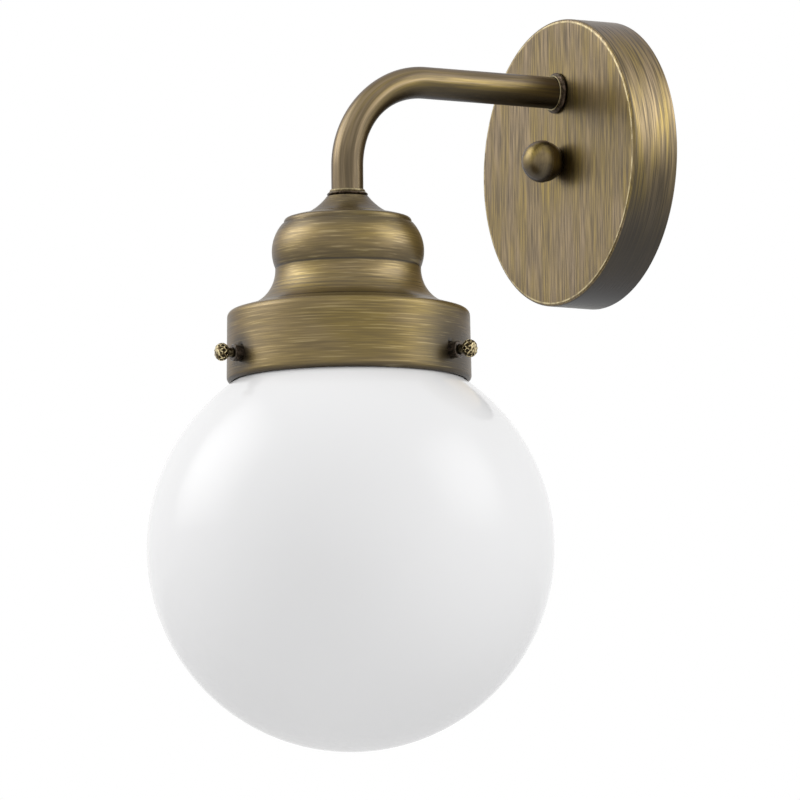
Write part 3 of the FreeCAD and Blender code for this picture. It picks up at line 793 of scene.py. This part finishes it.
def arm_tree():
    """The tube along its path: upright, quarter bend and level stretch, a little flat in the bend."""
    wires, given = new_tree("bent_tube", {
        "Tube Radius": "NodeSocketFloat", "Bend Radius": "NodeSocketFloat", "Upright": "NodeSocketFloat",
        "Level": "NodeSocketFloat", "Flattening": "NodeSocketFloat", "Spread": "NodeSocketFloat",
        "Foot": "NodeSocketVector", "Material": "NodeSocketMaterial"})
    bend = given["Bend Radius"]
    quarter = bend * (math.pi / 2)
    whole = given["Upright"] + quarter + given["Level"]
    line = wires.node("GeometryNodeCurvePrimitiveLine", None, {"End": (0.0, 0.0, 1.0)})
    dense = wires.node("GeometryNodeResampleCurve", None, {"Curve": line, "Count": 200})
    along = wires.parts(wires.node("GeometryNodeInputPosition"))[2] * whole
    turn = wires.lowest(wires.highest((along - given["Upright"]) / bend, 0.0), math.pi / 2)
    sine, cosine = wires.maths("SINE", turn), wires.maths("COSINE", turn)
    rise = wires.lowest(along, given["Upright"]) + bend * sine
    level = wires.highest(along - given["Upright"] - quarter, 0.0)
    centre = wires.node("ShaderNodeVectorMath", {"operation": "ADD"},
                        {0: given["Foot"], 1: wires.vector(0.0, bend * (1 - cosine) + level, rise)})
    measured = store(wires, dense, "along", "FLOAT", along)
    measured = store(wires, measured, "turn", "FLOAT", turn)
    measured = store(wires, measured, "centre", "FLOAT_VECTOR", centre)
    bent = wires.node("GeometryNodeSetPosition", None, {"Geometry": measured, "Position": centre})
    section = wires.node("GeometryNodeCurvePrimitiveCircle", None,
                         {"Resolution": 96, "Radius": given["Tube Radius"]})
    tube = wires.node("GeometryNodeCurveToMesh", None, {"Curve": bent, "Profile Curve": section})
    turn = kept(wires, "turn", "FLOAT")
    here = wires.node("GeometryNodeInputPosition")
    offset = wires.node("ShaderNodeVectorMath", {"operation": "SUBTRACT"},
                        {0: here, 1: kept(wires, "centre", "FLOAT_VECTOR")})
    off_x, off_y, off_z = wires.parts(offset)
    sine, cosine = wires.maths("SINE", turn), wires.maths("COSINE", turn)
    outward = off_z * sine - off_y * cosine
    press = wires.maths("SINE", turn * 2) ** 2
    squeeze = outward * press * given["Flattening"] * -1.0
    shift = wires.vector(off_x * press * given["Spread"], squeeze * cosine * -1.0, squeeze * sine)
    pressed = wires.node("GeometryNodeSetPosition", None, {"Geometry": tube, "Offset": shift})
    run = wires.vector(off_x / given["Tube Radius"], outward / given["Tube Radius"],
                       kept(wires, "along", "FLOAT"))
    marked = store(wires, pressed, "run", "FLOAT_VECTOR", run)
    smooth = wires.node("GeometryNodeSetShadeSmooth", None, {"Geometry": marked, "Shade Smooth": True})
    return end_tree(wires, smooth, given["Material"])


def knurl_tree():
    """Pits pressed into a head that stands along Z, in slanting rows that leave a diamond pattern."""
    wires, given = new_tree("head_knurl", {
        "Pits": "NodeSocketInt", "Pit Depth": "NodeSocketFloat", "Head Base": "NodeSocketFloat",
        "Head Height": "NodeSocketFloat", "Face Radius": "NodeSocketFloat", "Material": "NodeSocketMaterial"})
    x, y, z = wires.parts(wires.node("GeometryNodeInputPosition"))
    radius = wires.from_axis(x, y)
    turn = wires.maths("ARCTAN2", y, x) * given["Pits"]
    climb = (z - given["Head Base"]) / given["Head Height"] * (3 * math.pi)
    waves = [wires.maths("COSINE", (turn + climb * slant) / 2) for slant in (1, -1)]
    diamond = wires.lowest(abs(waves[0]), abs(waves[1]))
    on_head = wires.rise(z, given["Head Base"] - 0.00002, given["Head Base"] + 0.0002)
    on_flank = wires.rise(radius, given["Face Radius"] * 0.80, given["Face Radius"] * 1.04)
    pit = wires.rise(diamond, 0.30, 0.75) * on_head * on_flank
    pull = pit * given["Pit Depth"] / radius * -1.0
    knurled = wires.node("GeometryNodeSetPosition", None,
                         {"Geometry": given["Geometry"], "Offset": wires.vector(x * pull, y * pull, 0.0)})
    # patina and painted shade in the pits, and painted shade on the shank, kept under the name groove
    dark = wires.highest(pit, (1 - on_head) * 0.4)
    marked = store(wires, knurled, "groove", "FLOAT", dark)
    return end_tree(wires, marked, given["Material"])


def thread_tree():
    """A helical thread pressed into a rod that stands along Z."""
    wires, given = new_tree("screw_thread", {
        "Pitch": "NodeSocketFloat", "Depth": "NodeSocketFloat", "Rod Radius": "NodeSocketFloat",
        "Material": "NodeSocketMaterial"})
    x, y, z = wires.parts(wires.node("GeometryNodeInputPosition"))
    radius = wires.from_axis(x, y)
    turn = wires.maths("ARCTAN2", y, x) / (2 * math.pi)
    phase = (z / given["Pitch"] - turn) % 1.0
    valley = abs(phase * 2.0 - 1.0)
    on_flank = wires.rise(radius, given["Rod Radius"] * 0.97, given["Rod Radius"] * 0.999)
    pull = valley * given["Depth"] * on_flank / radius * -1.0
    cut = wires.node("GeometryNodeSetPosition", None,
                     {"Geometry": given["Geometry"], "Offset": wires.vector(x * pull, y * pull, 0.0)})
    return end_tree(wires, cut, given["Material"])


def ring_of_bushings_tree():
    """Copies of one bushing, each at a direction of its own round the skirt."""
    wires, given = new_tree("bushings_round_skirt", {
        "Count": "NodeSocketInt", "First Turn": "NodeSocketFloat", "Centre": "NodeSocketVector",
        "Material": "NodeSocketMaterial"})
    points = wires.node("GeometryNodePoints", None, {"Count": given["Count"], "Position": given["Centre"]})
    turn = wires.node("GeometryNodeInputIndex") * (2 * math.pi) / given["Count"] + given["First Turn"]
    copies = wires.node("GeometryNodeInstanceOnPoints", None,
                        {"Points": points, "Instance": given["Geometry"],
                         "Rotation": wires.vector(0.0, 0.0, turn)})
    return end_tree(wires, copies, given["Material"])


# ---- pieces ---------------------------------------------------------------------------------
def canopy_outline(sizes):
    """Front of the pan from its middle out, round the edge, down the rim and back up inside."""
    edge = (CANOPY_RADIUS - sizes.edge_round, CANOPY_DEPTH - sizes.edge_round)
    inner_edge = sizes.edge_round * 0.3
    inside = CANOPY_RADIUS - sizes.sheet
    ceiling = CANOPY_DEPTH - sizes.sheet
    hem = CANOPY_RADIUS - sizes.hem_width
    return joined(
        straight((0.0, CANOPY_DEPTH), (edge[0], CANOPY_DEPTH), 12),
        arc(edge, sizes.edge_round, 90, 0, 9),
        straight((CANOPY_RADIUS, edge[1]), (CANOPY_RADIUS, 0.0002), 8),
        [(CANOPY_RADIUS - 0.0002, 0.0), (hem, 0.0), (hem, sizes.hem_height), (inside, sizes.hem_height)],
        arc((inside - inner_edge, ceiling - inner_edge), inner_edge, 0, 90, 18),
        [(0.0, ceiling)])


def ring_outline(sizes, height):
    """A turned ring: hole, a rounded bead and on it a small lip round the tube."""
    land = RING_RADIUS - sizes.ring_bead
    seat = TUBE_RADIUS + TUBE_GAP
    floor = height - sizes.ring_seat
    bead_top = height * 0.66
    lip = seat + sizes.ring_lip
    return joined(
        [(HOLE_RADIUS, 0.0)], bow((land, 0.0), (land, bead_top), -sizes.ring_bead, 14),
        [(lip + 0.0003, bead_top + 0.0001), (lip, bead_top + 0.0003), (lip, height - 0.0002),
         (lip - 0.0002, height), (seat, height), (seat, floor), (HOLE_RADIUS, floor)])


def mark_lip(piece, low):
    """Marks the part of a ring above a height as worn, where its lip gets a bright line of wear and painted
    highlight.
    """
    marks = piece.data.attributes.new("worn", "FLOAT", "POINT")
    for vertex, mark in zip(piece.data.vertices, marks.data):
        mark.value = float(vertex.co.z > low)


def sweep_foot(sizes):
    """Radius and height at which the hollow sweep runs into the shoulder."""
    radius = sizes.waist + sizes.sweep * (1 - math.sin(sizes.slope))
    setback = sizes.shoulder * math.tan(math.pi / 4 - sizes.slope / 2)
    rise = (RIM_RADIUS - sizes.taper - radius) * math.tan(sizes.slope)
    return radius, RIM + sizes.skirt + setback + rise


def waist_level(sizes):
    """Height of the narrowest place."""
    return sweep_foot(sizes)[1] + sizes.sweep * math.cos(sizes.slope)


def holder_outline(sizes):
    """The outside of the bell, from its rolled rim up to the flat under the cone."""
    slope = math.degrees(sizes.slope)
    skirt_top = RIM_RADIUS - sizes.taper
    sweep_axis = sizes.waist + sizes.sweep
    level = waist_level(sizes)
    bulge_axis = sizes.waist + sizes.swell - sizes.bulge
    dip = math.acos((sizes.waist - bulge_axis) / sizes.bulge)
    bulge = (bulge_axis, level + sizes.groove + sizes.bulge * math.sin(dip))
    top_angle = math.asin(sizes.bulge_rise / sizes.bulge)
    ledge_level = bulge[1] + sizes.bulge_rise
    step_radius = bulge_axis + sizes.bulge * math.cos(top_angle) - sizes.ledge
    curl = (RIM_RADIUS - sizes.curl, RIM + sizes.curl)
    shoulder = (skirt_top - sizes.shoulder, RIM + sizes.skirt)
    dome_edge = (step_radius - sizes.dome_round, ledge_level + sizes.step)
    dome_arc = arc(dome_edge, sizes.dome_round, 0, 70, 7)
    return joined(
        arc(curl, sizes.curl, -math.degrees(sizes.curl_angle), 0, 8),
        straight((RIM_RADIUS, curl[1]), (skirt_top, RIM + sizes.skirt), 8),
        arc(shoulder, sizes.shoulder, 0, 90 - slope, 6),
        arc((sweep_axis, level), sizes.sweep, 270 - slope, 180, 3),
        arc(bulge, sizes.bulge, -math.degrees(dip), math.degrees(top_angle), 3),
        [(step_radius, ledge_level)],
        dome_arc,
        bow(dome_arc[-1], (CAP_FOOT_RADIUS, CAP_FOOT), -sizes.dome_round / 8),
        straight((CAP_FOOT_RADIUS, CAP_FOOT), (HOLE_RADIUS, CAP_FOOT), 3))


def cone_outline(sizes):
    """The small cone: outside down to its lip, and back up inside."""
    top = RING_RADIUS + 0.0002
    ceiling = CAP_TOP - sizes.cone_sheet
    inner_foot = CAP_FOOT_RADIUS - 1.3 * sizes.cone_sheet
    return joined(
        [(HOLE_RADIUS, CAP_TOP)],
        bow((top, CAP_TOP), (CAP_FOOT_RADIUS, CAP_FOOT + sizes.cone_lip), -sizes.cone_sag, 14),
        [(CAP_FOOT_RADIUS, CAP_FOOT)],
        bow((inner_foot, CAP_FOOT), (top - sizes.cone_sheet, ceiling), sizes.cone_sag, 14),
        [(HOLE_RADIUS, ceiling)])


def globe_skin(radius, neck, fillet, top):
    """One skin of the glass, from the bottom of the ball up its neck."""
    reach_out = neck + fillet
    rise = math.sqrt((radius + fillet) ** 2 - reach_out ** 2)
    turn = math.degrees(math.atan2(rise, reach_out))
    hollow = (reach_out, GLOBE_LEVEL + rise)
    return joined(arc((0.0, GLOBE_LEVEL), radius, -90, turn, 2.0), arc(hollow, fillet, 180 + turn, 180, 8),
                  [(neck, top)])


def globe_outline(sizes, holder):
    """Outside of the glass up to its lip, over it and back down inside."""
    lip_radius = RIM_RADIUS - holder.taper - holder.sheet - sizes.lip_clearance
    neck = lip_radius - sizes.lip_overhang
    bore = neck - sizes.glass
    lip_low = LIP_TOP - sizes.lip_height
    shoulder = lip_low + sizes.lip_overhang
    crown = LIP_TOP - shoulder
    outside = globe_skin(GLOBE_RADIUS, neck, sizes.fillet, lip_low)
    inside = globe_skin(GLOBE_RADIUS - sizes.glass, bore, sizes.fillet + sizes.glass, LIP_TOP)
    lip = joined(bow((neck, lip_low), (lip_radius, shoulder), -sizes.lip_overhang / 5, 6),
                 bow((lip_radius, shoulder), (lip_radius - crown, LIP_TOP), -crown / 5, 6))
    outline = joined(outside, lip, inside[::-1])
    outline[0] = (0.0, outline[0][1])
    outline[-1] = (0.0, outline[-1][1])
    return outline


def screw_spots(settings):
    """Radii from the globe's axis where a clamp screw's tip, bushing and head lie."""
    screws, holder, globe = settings.screws, settings.holder, settings.globe
    skirt = RIM_RADIUS - holder.taper * (SCREW_LEVEL - RIM) / holder.skirt
    neck = RIM_RADIUS - holder.taper - holder.sheet - globe.lip_clearance - globe.lip_overhang
    head = skirt + screws.bushing_length + screws.stand_off
    return neck + TIP_GAP, skirt, head


def screw_outline(settings):
    """A clamp screw along Z: shank with a chamfered tip and a rounded head."""
    screws = settings.screws
    tip, _, head = screw_spots(settings)
    end = head + screws.head_height
    face = HEAD_FACE * screws.head
    chamfer = 0.0006
    return joined(
        [(0.0, tip), (screws.shank - chamfer, tip), (screws.shank, tip + chamfer), (screws.shank, head)],
        straight((face * 0.8, head), (face, head), 2),
        bow((face, head), (face, end), face - screws.head, 28),
        straight((face, end), (face * 0.35, end + 0.00025), 4),
        [(0.0, end + 0.0003)])


def bushing_outline(settings):
    """A bushing along Z with its flange inside the skirt and bevelled ends."""
    screws, sheet = settings.screws, settings.holder.sheet
    skirt = screw_spots(settings)[1]
    bore = screws.shank + SHANK_GAP
    end = skirt + screws.bushing_length
    inside = skirt - sheet
    bevel = 0.0003
    return [
        (bore, inside - screws.clench_height), (screws.clench, inside - screws.clench_height),
        (screws.clench, inside), (screws.bushing_neck, inside), (screws.bushing_neck, skirt - 0.0004),
        (screws.bushing, skirt - 0.0004), (screws.bushing, end - bevel), (screws.bushing - bevel, end),
        (bore + bevel, end), (bore, end - bevel)]


def threaded_rod(name, outline_ends, radius, bore, pitch):
    """A rod or tube along Z whose flank has enough rings for a thread, with its thread cut."""
    low, high = outline_ends
    depth = 0.6 * pitch
    rings = math.ceil((high - low - 2 * depth) / pitch * 8)
    flank = straight((radius, low + depth), (radius, high - depth), rings)
    ends = ([(bore, low), (radius - depth, low)], [(radius - depth, high), (bore, high)])
    piece = lathe(name, joined(ends[0], flank, ends[1]), closed=bore > 0, segments=32)
    return grow(piece, bpy.data.node_groups.get("screw_thread") or thread_tree(),
                {"Pitch": pitch, "Depth": depth, "Rod Radius": radius, "Material": finish("zinc_steel")})


class SCONCE_OT_canopy(bpy.types.Operator):
    """Spin the wall canopy"""
    bl_idname = "sconce.canopy"
    bl_label = "Canopy"

    def execute(self, context):
        piece = lathe("wall_canopy", canopy_outline(context.scene.sconce.wall), segments=256)
        settle(place(piece, ORIGIN, ROOM), "canopy", "fixture", "plate_brass")
        return {"FINISHED"}


class SCONCE_OT_ball_nut(bpy.types.Operator):
    """Turn the ball nut that holds the canopy"""
    bl_idname = "sconce.ball_nut"
    bl_label = "Ball nut"

    def execute(self, context):
        rear = BALL_RADIUS - context.scene.sconce.wall.ball_step
        centre = (0.0, BALL_CENTRE)
        foot = -math.degrees(math.asin((BALL_CENTRE - BALL_SEAT) / rear))
        bore = STUD_RADIUS + STUD_GAP
        bore_end = STUD_TIP + STUD_ROOM
        outline = joined(
            [(0.0, bore_end), (bore, bore_end), (bore, BALL_SEAT)],
            arc(centre, rear, foot, -1.0, 4),
            arc(centre, BALL_RADIUS, 0.5, 90, 4))
        outline[-1] = (0.0, outline[-1][1])
        piece = lathe("ball_knob", outline, segments=128)
        settle(place(piece, ORIGIN, ROOM), "ball_nut", "ball_nut_body", "satin_brass")
        return {"FINISHED"}


class SCONCE_OT_rings(bpy.types.Operator):
    """Turn the rings at the arm's two ends"""
    bl_idname = "sconce.rings"
    bl_label = "Rings"

    def execute(self, context):
        height = NECK_RING_TOP - NECK_RING_BASE
        outline = ring_outline(context.scene.sconce.wall, height)
        for name, node, bright_lip_from, origin, way in (
                ("arm_collar", "canopy_ring", height - 0.0005, Vector((0, -CANOPY_DEPTH, ARM_RISE)), ROOM),
                ("neck_collar", "neck_ring", height / 2, GLOBE_AXIS + UP * NECK_RING_BASE, UP)):
            ring = lathe(name, outline, closed=True, segments=128)
            mark_lip(ring, bright_lip_from)
            settle(place(ring, origin, way), node, "fixture", "dark_bronze")
        return {"FINISHED"}


class SCONCE_OT_arm(bpy.types.Operator):
    """Bend the arm"""
    bl_idname = "sconce.arm"
    bl_label = "Arm"

    def execute(self, context):
        sizes = context.scene.sconce.arm
        wall_end = -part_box("arm_tube")[1].y
        upright = ARM_RISE - sizes.bend_radius - TUBE_END
        level = -GLOBE_AXIS.y - sizes.bend_radius - wall_end
        piece = new_piece("bent_arm", bpy.data.meshes.new("bent_arm"))
        grow(piece, arm_tree(), {
            "Tube Radius": TUBE_RADIUS, "Bend Radius": sizes.bend_radius, "Upright": upright, "Level": level,
            "Flattening": sizes.flattening, "Spread": sizes.spread,
            "Foot": GLOBE_AXIS + UP * TUBE_END, "Material": finish("arm_brass")})
        wall = piece.modifiers.new("wall", "SOLIDIFY")
        wall.thickness = sizes.wall
        wall.offset = -1.0
        plain_mesh(piece)
        settle(piece, "arm_tube", "fixture", "arm_brass")
        return {"FINISHED"}


class SCONCE_OT_holder(bpy.types.Operator):
    """Spin the bell and its cone"""
    bl_idname = "sconce.holder"
    bl_label = "Shade holder"

    def execute(self, context):
        sizes = context.scene.sconce.holder
        outline = holder_outline(sizes)
        sheet = outline + inner_side(outline, sizes.sheet)[::-1]
        bell = place(lathe("bell_holder", sheet, closed=True), GLOBE_AXIS)
        drilled = context.scene.sconce.screws.bushing_neck + DRILL_GAP
        for way in SCREW_WAYS.values():
            start = GLOBE_AXIS + UP * SCREW_LEVEL + way * (RIM_RADIUS - DRILL_BACK)
            drill(bell, drilled, start, way, DRILL_DEPTH)
        settle(bell, "shade_holder", "fixture", "spun_brass")
        cone = lathe("holder_cone", cone_outline(sizes), closed=True)
        settle(place(cone, GLOBE_AXIS), "neck_cap", "fixture", "spun_brass")
        return {"FINISHED"}


class SCONCE_OT_screws(bpy.types.Operator):
    """Make the clamp screws and their bushings"""
    bl_idname = "sconce.screws"
    bl_label = "Clamp screws"

    def execute(self, context):
        settings = context.scene.sconce
        screws = settings.screws
        head = screw_spots(settings)[2]
        knurl = knurl_tree()
        for side in SIDES:
            piece = lathe(f"clamp_screw_{side}", screw_outline(settings), segments=16 * screws.pits)
            grow(piece, knurl, {
                "Pits": screws.pits, "Pit Depth": screws.pit_depth, "Head Base": head,
                "Head Height": screws.head_height, "Face Radius": HEAD_FACE * screws.head,
                "Material": finish("screw_brass")})
            place(piece, GLOBE_AXIS + UP * SCREW_LEVEL, SCREW_WAYS[side])
            settle(piece, f"thumb_screw_{side}", f"thumb_screw_{side}_body", "screw_brass")
        piece = lathe("clamp_bushings", bushing_outline(settings), closed=True, segments=96)
        place(piece, ORIGIN, Vector((1, 0, 0)))
        first = SCREW_WAYS[SIDES[0]]
        grow(piece, ring_of_bushings_tree(), {
            "Count": len(SIDES), "First Turn": math.atan2(first.y, first.x),
            "Centre": GLOBE_AXIS + UP * SCREW_LEVEL, "Material": finish("blackened_brass")})
        settle(piece, "screw_bushings", "fixture", "blackened_brass")
        return {"FINISHED"}


class SCONCE_OT_globe(bpy.types.Operator):
    """Blow the glass globe"""
    bl_idname = "sconce.globe"
    bl_label = "Globe"

    def execute(self, context):
        settings = context.scene.sconce
        piece = lathe("opal_globe", globe_outline(settings.globe, settings.holder), segments=192)
        settle(place(piece, GLOBE_AXIS), "globe", "fixture", "opal_glass")
        return {"FINISHED"}


class SCONCE_OT_fittings(bpy.types.Operator):
    """Finish the bar, the stud, the nuts and the nipples"""
    bl_idname = "sconce.fittings"
    bl_label = "Wall fittings"

    def execute(self, context):
        settings = context.scene.sconce
        for node in ("mounting_bar", "stud_lock_nut", "wall_lock_washer", "wall_hex_nut",
                     "holder_lock_washer", "holder_hex_nut"):
            dress(node, "zinc_steel")
        dress("ground_screw", "green_screw")
        stud = threaded_rod("threaded_stud", (0.0, STUD_TIP), STUD_RADIUS, 0.0, settings.wall.thread_pitch)
        settle(place(stud, ORIGIN, ROOM), "center_stud", "fixture", "zinc_steel")
        bore = NIPPLE_RADIUS - NIPPLE_WALL
        low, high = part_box("wall_nipple")
        upper = threaded_rod("arm_nipple", (-high.y, -low.y), NIPPLE_RADIUS, bore, settings.arm.nipple_pitch)
        settle(place(upper, UP * ARM_RISE, ROOM), "wall_nipple", "fixture", "zinc_steel")
        low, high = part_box("lower_nipple")
        lower = threaded_rod("neck_nipple", (low.z, high.z), NIPPLE_RADIUS, bore, settings.arm.nipple_pitch)
        settle(place(lower, GLOBE_AXIS), "lower_nipple", "fixture", "zinc_steel")
        return {"FINISHED"}


class SCONCE_OT_socket(bpy.types.Operator):
    """Finish the lamp socket"""
    bl_idname = "sconce.socket"
    bl_label = "Lamp socket"

    def execute(self, context):
        for node, slot in (("socket_cap", "nickel"), ("socket_shell", "nickel"), ("socket_body", "porcelain"),
                           ("center_contact", "contact_brass"), ("terminal_screws", "contact_brass")):
            dress(node, slot)
        return {"FINISHED"}


# ---- stage ----------------------------------------------------------------------------------
CAMERA_PLACE = Vector((8.450825, -5.241371, -1.429374))
CAMERA_TURN = math.radians(58.71)        # round the light from straight in front
CAMERA_TILT = math.radians(-7.595)       # looks up from below the light
CAMERA_ROLL = math.radians(-0.536)
CAMERA_LENS = 1022.9                     # millimetres, on a sensor of the usual width
SENSOR = 36.0
LAMP_DISTANCE = 3.0
FLOOR_REACH = 40.0                       # from the floor's middle to its sides
LAMPS = {                                # way to it (right, up, back), size, radiance, seen in mirrors
    "key": ((-0.80, 0.50, -0.15), 3.0, 4.0, True),
    "fill": ((0.80, 0.48, 0.15), 2.8, 3.4, True),
    "front": ((0.0, 0.20, 1.0), 2.4, 2.3, False),
    "rear": ((0.2, 0.5, -0.9), 2.4, 1.5, False),
}


def camera_axes():
    """The camera's right, up and back directions."""
    level = math.cos(CAMERA_TILT)
    back = Vector((math.sin(CAMERA_TURN) * level, -math.cos(CAMERA_TURN) * level, math.sin(CAMERA_TILT)))
    right = Vector((math.cos(CAMERA_TURN), math.sin(CAMERA_TURN), 0))
    up = back.cross(right)
    rolled = Matrix.Rotation(CAMERA_ROLL, 3, back)
    return rolled @ right, rolled @ up, back


def add_camera():
    data = bpy.data.cameras.new("camera")
    data.lens = CAMERA_LENS
    data.sensor_width = SENSOR
    data.clip_end = 200.0
    camera = bpy.data.objects.new("camera", data)
    camera.matrix_world = Matrix.Translation(CAMERA_PLACE) @ Matrix(camera_axes()).transposed().to_4x4()
    bpy.context.scene.collection.objects.link(camera)
    bpy.context.scene.camera = camera


def add_softbox(name, aim, way, size, radiance, mirrored):
    """A square area lamp that shines at aim, bright in its middle and dim at its edges."""
    data = bpy.data.lights.new(name, "AREA")
    data.shape = "SQUARE"
    data.size = size
    data.energy = radiance * math.pi * size * size
    data.use_nodes = True
    data.node_tree.nodes.clear()
    wires = Wires(data.node_tree)
    first, second, _ = wires.parts(wires.node("ShaderNodeNewGeometry", None, None, 5))
    across, along = first * 2 - 1, second * 2 - 1
    glow = wires.highest(1 - across * across, 0.0) * wires.highest(1 - along * along, 0.0)
    shine = wires.node("ShaderNodeEmission", None, {"Strength": glow})
    wires.node("ShaderNodeOutputLight", None, {0: shine})
    lamp = bpy.data.objects.new(name, data)
    way = way.normalized()
    turned = way.to_track_quat("Z", "Y").to_matrix().to_4x4()
    lamp.matrix_world = Matrix.Translation(aim + way * LAMP_DISTANCE) @ turned
    lamp.visible_camera = False
    lamp.visible_glossy = mirrored
    bpy.context.scene.collection.objects.link(lamp)


def looked_at(wires):
    """1 for a ray that sees a place directly, mirrored or through glass, 0 for one that carries light."""
    path = wires.node("ShaderNodeLightPath").socket.node
    return wires.highest(*[Signal(wires, path.outputs[name]) for name in
                           ("Is Camera Ray", "Is Glossy Ray", "Is Transmission Ray")])


def add_world(ambient):
    """White where it is looked at or mirrored, and a soft even light on the rest."""
    world = bpy.data.worlds.new("studio")
    world.use_nodes = True
    world.node_tree.nodes.clear()
    wires = Wires(world.node_tree)
    white = (1.0, 1.0, 1.0, 1.0)
    lit, shown = (wires.node("ShaderNodeBackground", None, {"Color": white, "Strength": strength})
                  for strength in (ambient, 1.0))
    wires.node("ShaderNodeOutputWorld", None, {"Surface": wires.mix_shaders(looked_at(wires), lit, shown)})
    bpy.context.scene.world = world


def add_floor(settings):
    """A wide pale floor that can be seen from above only."""
    mesh = bpy.data.meshes.new("floor")
    made = bmesh.new()
    bmesh.ops.create_grid(made, x_segments=1, y_segments=1, size=FLOOR_REACH)
    made.to_mesh(mesh)
    made.free()
    floor = new_piece("floor", mesh)
    floor.location.z = settings.floor_level
    material, wires = new_material("floor_paint")
    tone = wires.clouded(wires.grain(40.0, 2.0), (settings.floor_grey,) * 3, 0.97)
    paint = wires.node("ShaderNodeBsdfDiffuse", None, {"Color": tone})
    white = wires.node("ShaderNodeEmission", None, {"Strength": 1.0})
    pale = wires.mix_shaders(looked_at(wires) * settings.floor_white, paint, white)
    underside = wires.node("ShaderNodeNewGeometry", None, None, 6)
    from_camera = wires.node("ShaderNodeLightPath")
    clear = wires.node("ShaderNodeBsdfTransparent")
    both = wires.mix_shaders(underside * from_camera, pale, clear)
    wires.node("ShaderNodeOutputMaterial", None, {"Surface": both})
    mesh.materials.append(material)
    floor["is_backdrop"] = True


class SCONCE_OT_stage(bpy.types.Operator):
    """Set up the floor, the light and the camera"""
    bl_idname = "sconce.stage"
    bl_label = "Stage"

    def execute(self, context):
        settings = context.scene.sconce.stage
        context.scene.view_settings.view_transform = "Standard"
        add_world(settings.ambient)
        add_floor(settings)
        add_camera()
        right, up, back = camera_axes()
        low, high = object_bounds()
        aim = (low + high) / 2
        for name, (way, size, radiance, mirrored) in LAMPS.items():
            add_softbox(name, aim, right * way[0] + up * way[1] + back * way[2], size, radiance, mirrored)
        return {"FINISHED"}


STEPS = ("canopy", "ball_nut", "rings", "arm", "holder", "screws", "globe", "fittings", "socket", "stage")


class SCONCE_PT_panel(bpy.types.Panel):
    """Lists the pieces of the sconce"""
    bl_label = "Globe wall sconce"
    bl_idname = "SCONCE_PT_panel"
    bl_space_type = "VIEW_3D"
    bl_region_type = "UI"
    bl_category = "Sconce"

    def draw(self, context):
        for step in STEPS:
            self.layout.operator(f"sconce.{step}")
        for name in ("wall", "arm", "holder", "screws", "globe", "colours", "stage"):
            group = getattr(context.scene.sconce, name)
            box = self.layout.box()
            box.label(text=name.capitalize())
            for key in group.__annotations__:
                box.prop(group, key)


CLASSES = (
    SCONCE_PG_wall, SCONCE_PG_arm, SCONCE_PG_holder, SCONCE_PG_screws, SCONCE_PG_globe, SCONCE_PG_colours,
    SCONCE_PG_stage, SCONCE_PG_settings, SCONCE_OT_canopy, SCONCE_OT_ball_nut, SCONCE_OT_rings,
    SCONCE_OT_arm, SCONCE_OT_holder, SCONCE_OT_screws, SCONCE_OT_globe, SCONCE_OT_fittings,
    SCONCE_OT_socket, SCONCE_OT_stage, SCONCE_PT_panel)


def register():
    for cls in CLASSES:
        bpy.utils.register_class(cls)
    bpy.types.Scene.sconce = PointerProperty(type=SCONCE_PG_settings)


def unregister():
    del bpy.types.Scene.sconce
    for cls in reversed(CLASSES):
        bpy.utils.unregister_class(cls)


def main():
    register()
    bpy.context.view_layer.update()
    for step in STEPS:
        getattr(bpy.ops.sconce, step)()


if __name__ == "__main__":
    main()
